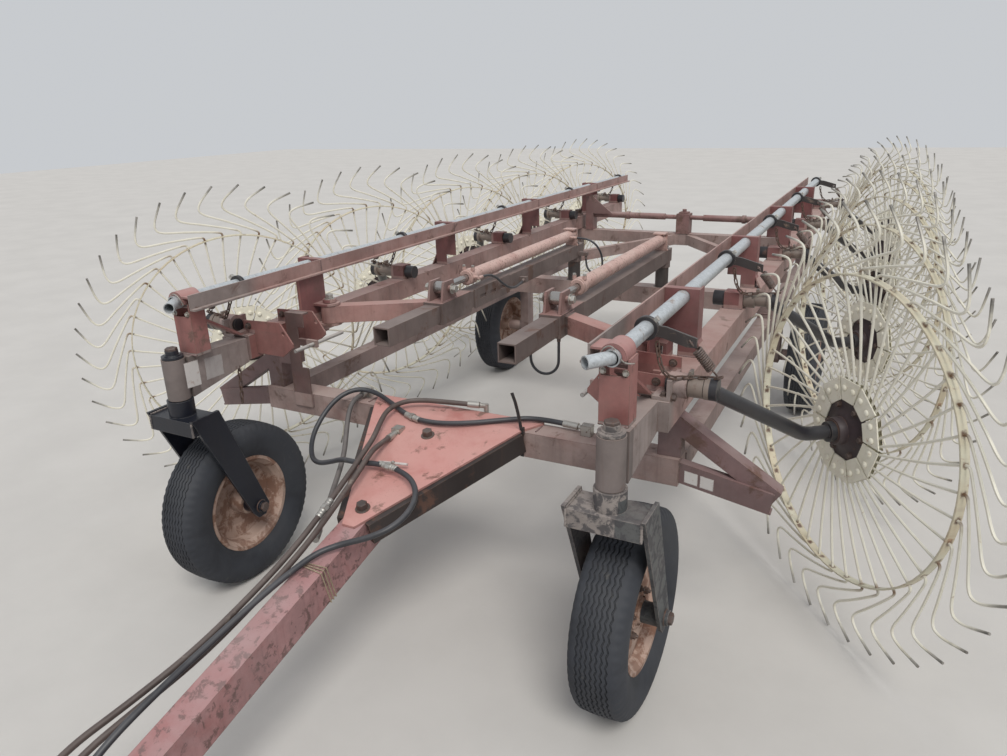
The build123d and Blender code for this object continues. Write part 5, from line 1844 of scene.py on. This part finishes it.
@dataclass(frozen=True)
class BeamGear:
    """Beads and bolts of one rake beam."""

    tube_top: float = 1.0355
    column_y: float = 0.780
    column_count: int = 4
    latch_x: float = 0.872
    latch_rows: tuple[float, float] = (0.400, 0.600)
    post_face: float = 0.0596
    hinge_pin: Point = (0.890, HINGE_Y, 1.0492)
    link_pin: Point = (0.720, 0.740, 1.116)

    def build(self, site: Site, library: Library, side: Side) -> None:
        """Adds the gear.

        Args:
            site: The shared frame.
            library: Material maker.
            side: Side of the beam.
        """
        paint = map(library.get, (RED_DARK, BOLT_DARK, ZINC))
        gear = SideGear("dress_beam_gear_" + side.label, site, side, *paint)
        self._columns(gear)
        self._bearings(gear)
        self._latch(gear)
        gear.bolt(gear.at(*self.hinge_pin), UP, 0.046, 1)
        gear.bolt(gear.at(*self.link_pin), UP, 0.030, 2)
        self._front_post(gear)
        gear.finish("beam_" + side.label)

    def _columns(self, gear: SideGear) -> None:
        """Beads round the columns that carry the rail.

        Args:
            gear: Mesh to add to.
        """
        for index in range(self.column_count):
            y = self.column_y + WHEEL_PITCH * index
            for step in (0.001, -0.008):
                gear.bead((0.842, y + step, self.tube_top), (0.906, y + step, self.tube_top),
                          WIDE_WELD_RADIUS)
            gear.bead((0.775, y - 0.008, 1.225), (0.775, y - 0.008, 1.280))

    def _bearings(self, gear: SideGear) -> None:
        """Beads along the arms' bearings, and the bolts of the first.

        Args:
            gear: Mesh to add to.
        """
        for step in (-0.046, 0.046):
            y = ARM_PIVOT_Y + step
            gear.bolt(gear.at(0.9402, y, 1.045), Vector((gear.side.value, 0, 0)), 0.019, 1)
            gear.bolt(gear.at(0.915, y, 1.047), UP, 0.017, 1)
        for index in range(1, WHEEL_COUNT):
            for step in (-0.0385, 0.0385):
                y = ARM_PIVOT_Y + WHEEL_PITCH * index + step
                gear.bead((0.852, y, self.tube_top), (0.928, y, self.tube_top))

    def _latch(self, gear: SideGear) -> None:
        """Bolts and beads of the two latch plates.

        Args:
            gear: Mesh to add to.
        """
        for y in self.latch_rows:
            for z in (1.066, 0.960):
                gear.bolt(gear.at(self.latch_x, y - 0.0036, z), FORWARD, 0.019, 1)
                gear.bolt(gear.at(self.latch_x, y + 0.0036, z), REARWARD, 0.019, 1, tail=0.012)
            gear.bead((0.842, y - 0.004, self.tube_top), (0.898, y - 0.004, self.tube_top))

    def _front_post(self, gear: SideGear) -> None:
        """Beads, bolts and wire clip of the post above the caster.

        Args:
            gear: Mesh to add to.
        """
        face = self.post_face
        gear.bead((0.803, face, 1.045), (0.893, face, 1.045), WIDE_WELD_RADIUS)
        gear.bead((0.812, face, 1.232), (0.884, face, 1.232), NARROW_WELD_RADIUS)
        for x in (0.815, 0.881):
            gear.bolt(gear.at(x, face, 1.205), FORWARD, 0.013, 2)
        clip = [(0.905, 0.062, 1.236), (0.892, 0.050, 1.236), (0.876, 0.036, 1.246), (0.856, 0.034, 1.282),
                (0.838, 0.036, 1.287), (0.816, 0.040, 1.270), (0.808, 0.042, 1.244)]
        gear.absorb(bar_mesh([gear.at(*point) for point in clip], 0.0022, 6, sides=1), slot=2)


@dataclass(frozen=True)
class SwingGear:
    """Gland nut, foot bolts, pivot nut and beads of one swing tube."""

    barrel_height: float = 1.150
    barrel_front: float = 1.200
    barrel_rear: float = 2.488
    pivot_y: float = 2.540
    pivot_top: float = 1.1005
    tube_end: float = 2.6
    tube_half: float = 0.037

    def build(self, site: Site, library: Library, side: Side) -> None:
        """Adds the gear.

        Args:
            site: The shared frame.
            library: Material maker.
            side: Side of the tube.
        """
        paint = map(library.get, (RED_BARREL, BOLT_DARK, ZINC))
        gear = SideGear("dress_swing_gear_" + side.label, site, side, *paint)
        gland = [(0.0175, -0.004), (0.031, -0.004), (0.034, -0.001), (0.0376, 0.001), (0.0376, 0.016),
                 (0.0362, 0.018), (0.0376, 0.020), (0.0376, 0.046), (0.0335, 0.0505), (0.0323, 0.0505),
                 (0.0175, 0.0505)]
        front = gear.at(SWING_X, self.barrel_front, self.barrel_height)
        gear.lathe(gland, frame_at(front, REARWARD), 40, 0)
        for x in (0.256, 0.304):
            gear.bolt(gear.at(x, 1.225, 1.196), UP, 0.014, 2, washer=False)
        gear.bolt(gear.at(SWING_X, self.pivot_y, self.pivot_top), UP, 0.042, 1)
        ring = [(0.0318, -0.003), (0.0345, -0.001), (0.0345, 0.003), (0.0318, 0.005)]
        rear = gear.at(SWING_X, self.barrel_rear, self.barrel_height)
        gear.lathe(ring, frame_at(rear, REARWARD), 32, 0)
        for step in (-0.0365, 0.0365):
            gear.bead((SWING_X + step, 2.493, SWING_TOP), (SWING_X + step, 2.505, SWING_TOP),
                      WIDE_WELD_RADIUS)
        for start, end in ((1.202, 1.300), (1.460, 1.558)):
            gear.bead((0.2425, start, SWING_TOP), (0.2425, end, SWING_TOP), NARROW_WELD_RADIUS)
        h = self.tube_half
        cap = [(-h, -h), (h, -h), (h, h), (-h, h)]
        gear.prism(cap, 0.0, 0.0015, frame_at(gear.at(SWING_X, self.tube_end, 1.050), REARWARD), 0.0008, 0)
        gear.finish("swing_" + side.label)


@dataclass(frozen=True)
class SlideGear:
    """Clevis bolts and beads of one slide."""

    clevis_y: float = 0.980
    clevis_z: float = 1.150
    clevis_half: float = 0.0562

    def build(self, site: Site, library: Library, side: Side) -> None:
        """Adds the gear.

        Args:
            site: The shared frame.
            library: Material maker.
            side: Side of the slide.
        """
        paint = map(library.get, (ZINC, RED_DARK))
        gear = SideGear("dress_slide_gear_" + side.label, site, side, *paint)
        for way in (-1, 1):
            spot = gear.at(SWING_X + way * self.clevis_half, self.clevis_y, self.clevis_z)
            gear.bolt(spot, Vector((way * side.value, 0, 0)), 0.030, 0)
            x = SWING_X + way * 0.0405
            gear.bead((x, 0.922, 1.0985), (x, 1.038, 1.0985), WIDE_WELD_RADIUS, 1)
        for z in (1.013, 1.087):
            gear.bead((0.3285, 0.952, z), (0.3285, 1.040, z), WIDE_WELD_RADIUS, 1)
        gear.finish("slide_" + side.label)


@dataclass(frozen=True)
class CasterGear:
    """Kingpin nut, axle nuts and the fork's beads of one caster."""

    pin_x: float = 0.865
    pin_top: float = 1.0625
    axle_y: float = 0.200
    axle_z: float = 0.345
    axle_half: float = 0.1242
    seam_half: float = 0.1122

    def build(self, site: Site, library: Library, side: Side) -> None:
        """Adds the gear.

        Args:
            site: The shared frame.
            library: Material maker.
            side: Side of the caster.
        """
        paint = map(library.get, (BOLT_DARK, ZINC, BLACK_WORN))
        gear = SideGear("dress_caster_gear_" + side.label, site, side, *paint)
        gear.bolt(gear.at(self.pin_x, 0.0, self.pin_top), UP, 0.040, 0, washer=False)
        for way in (-1, 1):
            spot = gear.at(self.pin_x + way * self.axle_half, self.axle_y, self.axle_z)
            gear.bolt(spot, Vector((way * side.value, 0, 0)), 0.036, 0)
            x = self.pin_x + way * self.seam_half
            for y in (-0.060, 0.060):
                gear.bead((x, y, 0.762), (x, y, 0.818), WIDE_WELD_RADIUS, 2)
            gear.bead((x, -0.058, 0.8215), (x, 0.058, 0.8215), WIDE_WELD_RADIUS, 2)
        gear.finish("caster_" + side.label)


@dataclass(frozen=True)
class Labels:
    """Blank films: two on the left gooseneck, one of them worn away, and two on the right rest."""

    film: float = 0.0006
    gooseneck_x: float = 0.8246
    gooseneck_fields: tuple[tuple[float, float, float, float], ...] = (
        (0.006, 0.926, 0.070, 0.100), (0.104, 0.930, 0.088, 0.086))
    rest_y: float = 0.5194
    rest_x: tuple[float, float] = (0.950, 1.004)
    rest_z: float = 0.668
    rest_slope: float = 0.16

    def build(self, site: Site, library: Library) -> None:
        """Adds the films.

        Args:
            site: The shared frame.
            library: Material maker.
        """
        upright = turned(REARWARD, UP, ACROSS)
        maker = Maker("dress_labels_gooseneck", library.get(BLANK_LABEL), library.get(FILM_REMAINS))
        for slot, (y, z, wide, high) in enumerate(self.gooseneck_fields):
            field = [(0, 0), (wide, -0.004), (wide, high - 0.004), (0, high)]
            base = Matrix.Translation(site.at((self.gooseneck_x, y, z), Side.LEFT))
            maker.prism(field, 0.0, self.film, base @ upright, slot=slot)
        maker.finish("beam_left")
        front = turned(ACROSS, UP, FORWARD)
        rest = Maker("dress_labels_rest", library.get(BLANK_LABEL))
        field = [(0, 0), (0.046, -0.007), (0.046, 0.037), (0, 0.044)]
        for x in self.rest_x:
            drop = (x - self.rest_x[0]) * self.rest_slope
            base = Matrix.Translation(site.at((x, self.rest_y, self.rest_z - drop)))
            rest.prism(field, 0.0, self.film, base @ front)
        rest.finish("frame")


@dataclass(frozen=True)
class Ties:
    """Keeper chain on the left gooseneck, twine round the tongue and a strap on the plate's corner."""

    twine: float = 0.0022
    twine_y: float = -0.300
    twine_z: float = 0.4978
    twine_turns: int = 3
    twine_pitch: float = 0.009
    half_width: float = 0.0475
    half_height: float = 0.0625
    strap_width: float = 0.013
    strap_thickness: float = 0.0022

    def build(self, site: Site, library: Library) -> None:
        """Adds the ties.

        Args:
            site: The shared frame.
            library: Material maker.
        """
        keeper = Maker("dress_keeper_chain", library.get(RUSTY_STEEL))
        hang = [(0.832, 0.276, 0.925), (0.833, 0.276, 0.890), (0.834, 0.273, 0.850), (0.834, 0.270, 0.815),
                (0.834, 0.268, 0.780)]
        LiftGear().chain(keeper, [site.at(point, Side.LEFT) for point in hang])
        keeper.finish("beam_left")
        self._twine(site, library)
        self._strap(site, library)

    def _twine(self, site: Site, library: Library) -> None:
        """Turns of twine round the tongue.

        Args:
            site: The shared frame.
            library: Material maker.
        """
        tilt = math.atan(TONGUE_SLOPE)
        along = Vector((0, math.cos(tilt), math.sin(tilt)))
        above = Vector((0, -math.sin(tilt), math.cos(tilt)))
        middle = site.at((0.0, self.twine_y, self.twine_z))
        w, h = self.half_width, self.half_height
        corners = ((-w, -h), (-w, 0), (-w, h), (-w * 0.5, h + 0.002), (w * 0.5, h + 0.002),
                   (w, h), (w, 0), (w, -h), (w * 0.5, -h - 0.002), (-w * 0.5, -h - 0.002))
        maker = Maker("dress_tongue_twine", library.get(TWINE))
        for index in range(self.twine_turns):
            centre = middle + along * self.twine_pitch * index
            skew = 0.004 * (index - 1)
            loop = []
            for x, z in corners:
                point = centre + Vector((x, 0, 0)) + above * z + along * skew * (x / w)
                loop += [point, point] if abs(x) == w and abs(z) == h else [point]
            maker.absorb(bar_mesh(loop, self.twine, 3, cyclic=True, sides=1))
        maker.finish("frame")

    def _strap(self, site: Site, library: Library) -> None:
        """Strap that stands up from the plate's corner, with its buckle.

        Args:
            site: The shared frame.
            library: Material maker.
        """
        strap = Maker("dress_corner_strap", library.get(STRAP))
        band = [(0.338, 0.5085, 0.650), (0.338, 0.5085, 0.700), (0.338, 0.5082, 0.742), (0.337, 0.506, 0.762),
                (0.333, 0.504, 0.790), (0.326, 0.503, 0.830), (0.316, 0.503, 0.870), (0.303, 0.503, 0.905)]
        strap.ribbon([site.at(point) for point in band], ACROSS, self.strap_width, self.strap_thickness)
        buckle = [site.at((0.3445, 0.5060, z)) for z in (0.742, 0.760, 0.772)]
        strap.ribbon(buckle, REARWARD, 0.010, 0.009)
        strap.finish("frame")


NODE_FINISHES = {
    "rear_tower": RED_TOWER,
    "beam_rests": RED_DARK,
    "cover_plate": RED_PLATE,
    "tongue": RED_TONGUE,
    # The A-frame's channels take the near-black copy of the red paint, which is painted shade.
    "a_frame": RED_CHANNEL_SHADE,
    "swing_tube": RED_SWING,
    "fold_barrel": RED_BARREL,
    "fold_rod": CHROME,
    "caster_rim": RUST_RIM,
    "main_rim": RUST_RIM,
    "caster_fork_left": BLACK_CLEAN,
    "hose_fittings": ZINC,
}


def dress_nodes(frame: dict, site: Site, library: Library) -> None:
    """Gives each CAD node its material.

    Args:
        site: The shared frame.
        library: Material maker.
    """
    zoned = {
        "lift_pipe": library.lift_pipe(site),
        "rake_beam": library.by_zone("red_beam_paint_by_zone", RED_BEAM, BEAM_ZONES, site),
        "main_frame": library.by_zone("red_frame_paint_by_zone", RED_FRAME, FRAME_ZONES, site),
        "caster_fork_right": library.by_zone("worn_fork_paint_by_zone", BLACK_WORN, FORK_ZONES, site),
        "slide": library.by_zone("red_slide_paint_by_zone", RED_SWING, SLIDE_ZONES, site),
        "wheel_arms": library.by_zone("black_arm_paint_by_zone", BLACK_ARM, ARM_ZONES, site),
    }
    for name, node in frame["nodes"].items():
        finish = next((f for prefix, f in NODE_FINISHES.items() if name.startswith(prefix)), None)
        material = next((m for prefix, m in zoned.items() if name.startswith(prefix)), None)
        if material is None and finish is not None:
            material = library.get(finish)
        if material is None:
            continue
        if not node.material_slots:
            node.data.materials.append(material)
        for slot in node.material_slots:
            slot.material = material
    log.info("nodes: %d dressed", len(frame["nodes"]))


def main() -> None:
    """Builds the scene."""
    for leftover in list(bpy.data.objects):
        bpy.data.objects.remove(leftover)
    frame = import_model()
    site = Site(frame)
    PhotoCamera().build(site)
    library = Library()
    Studio().build(library)
    Hoses(site, library).build()
    dress_nodes(frame, site, library)
    RakeWheel().build(site, library)
    RoadWheels().build(site, library)
    LiftGear().build(site, library)
    PlateGear().build(site, library)
    FrameWelds().build(site, library)
    for side in Side:
        for gear in (BeamGear(), SwingGear(), SlideGear(), CasterGear()):
            gear.build(site, library, side)
    Labels().build(site, library)
    Ties().build(site, library)
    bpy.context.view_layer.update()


if __name__ == "__main__":
    main()
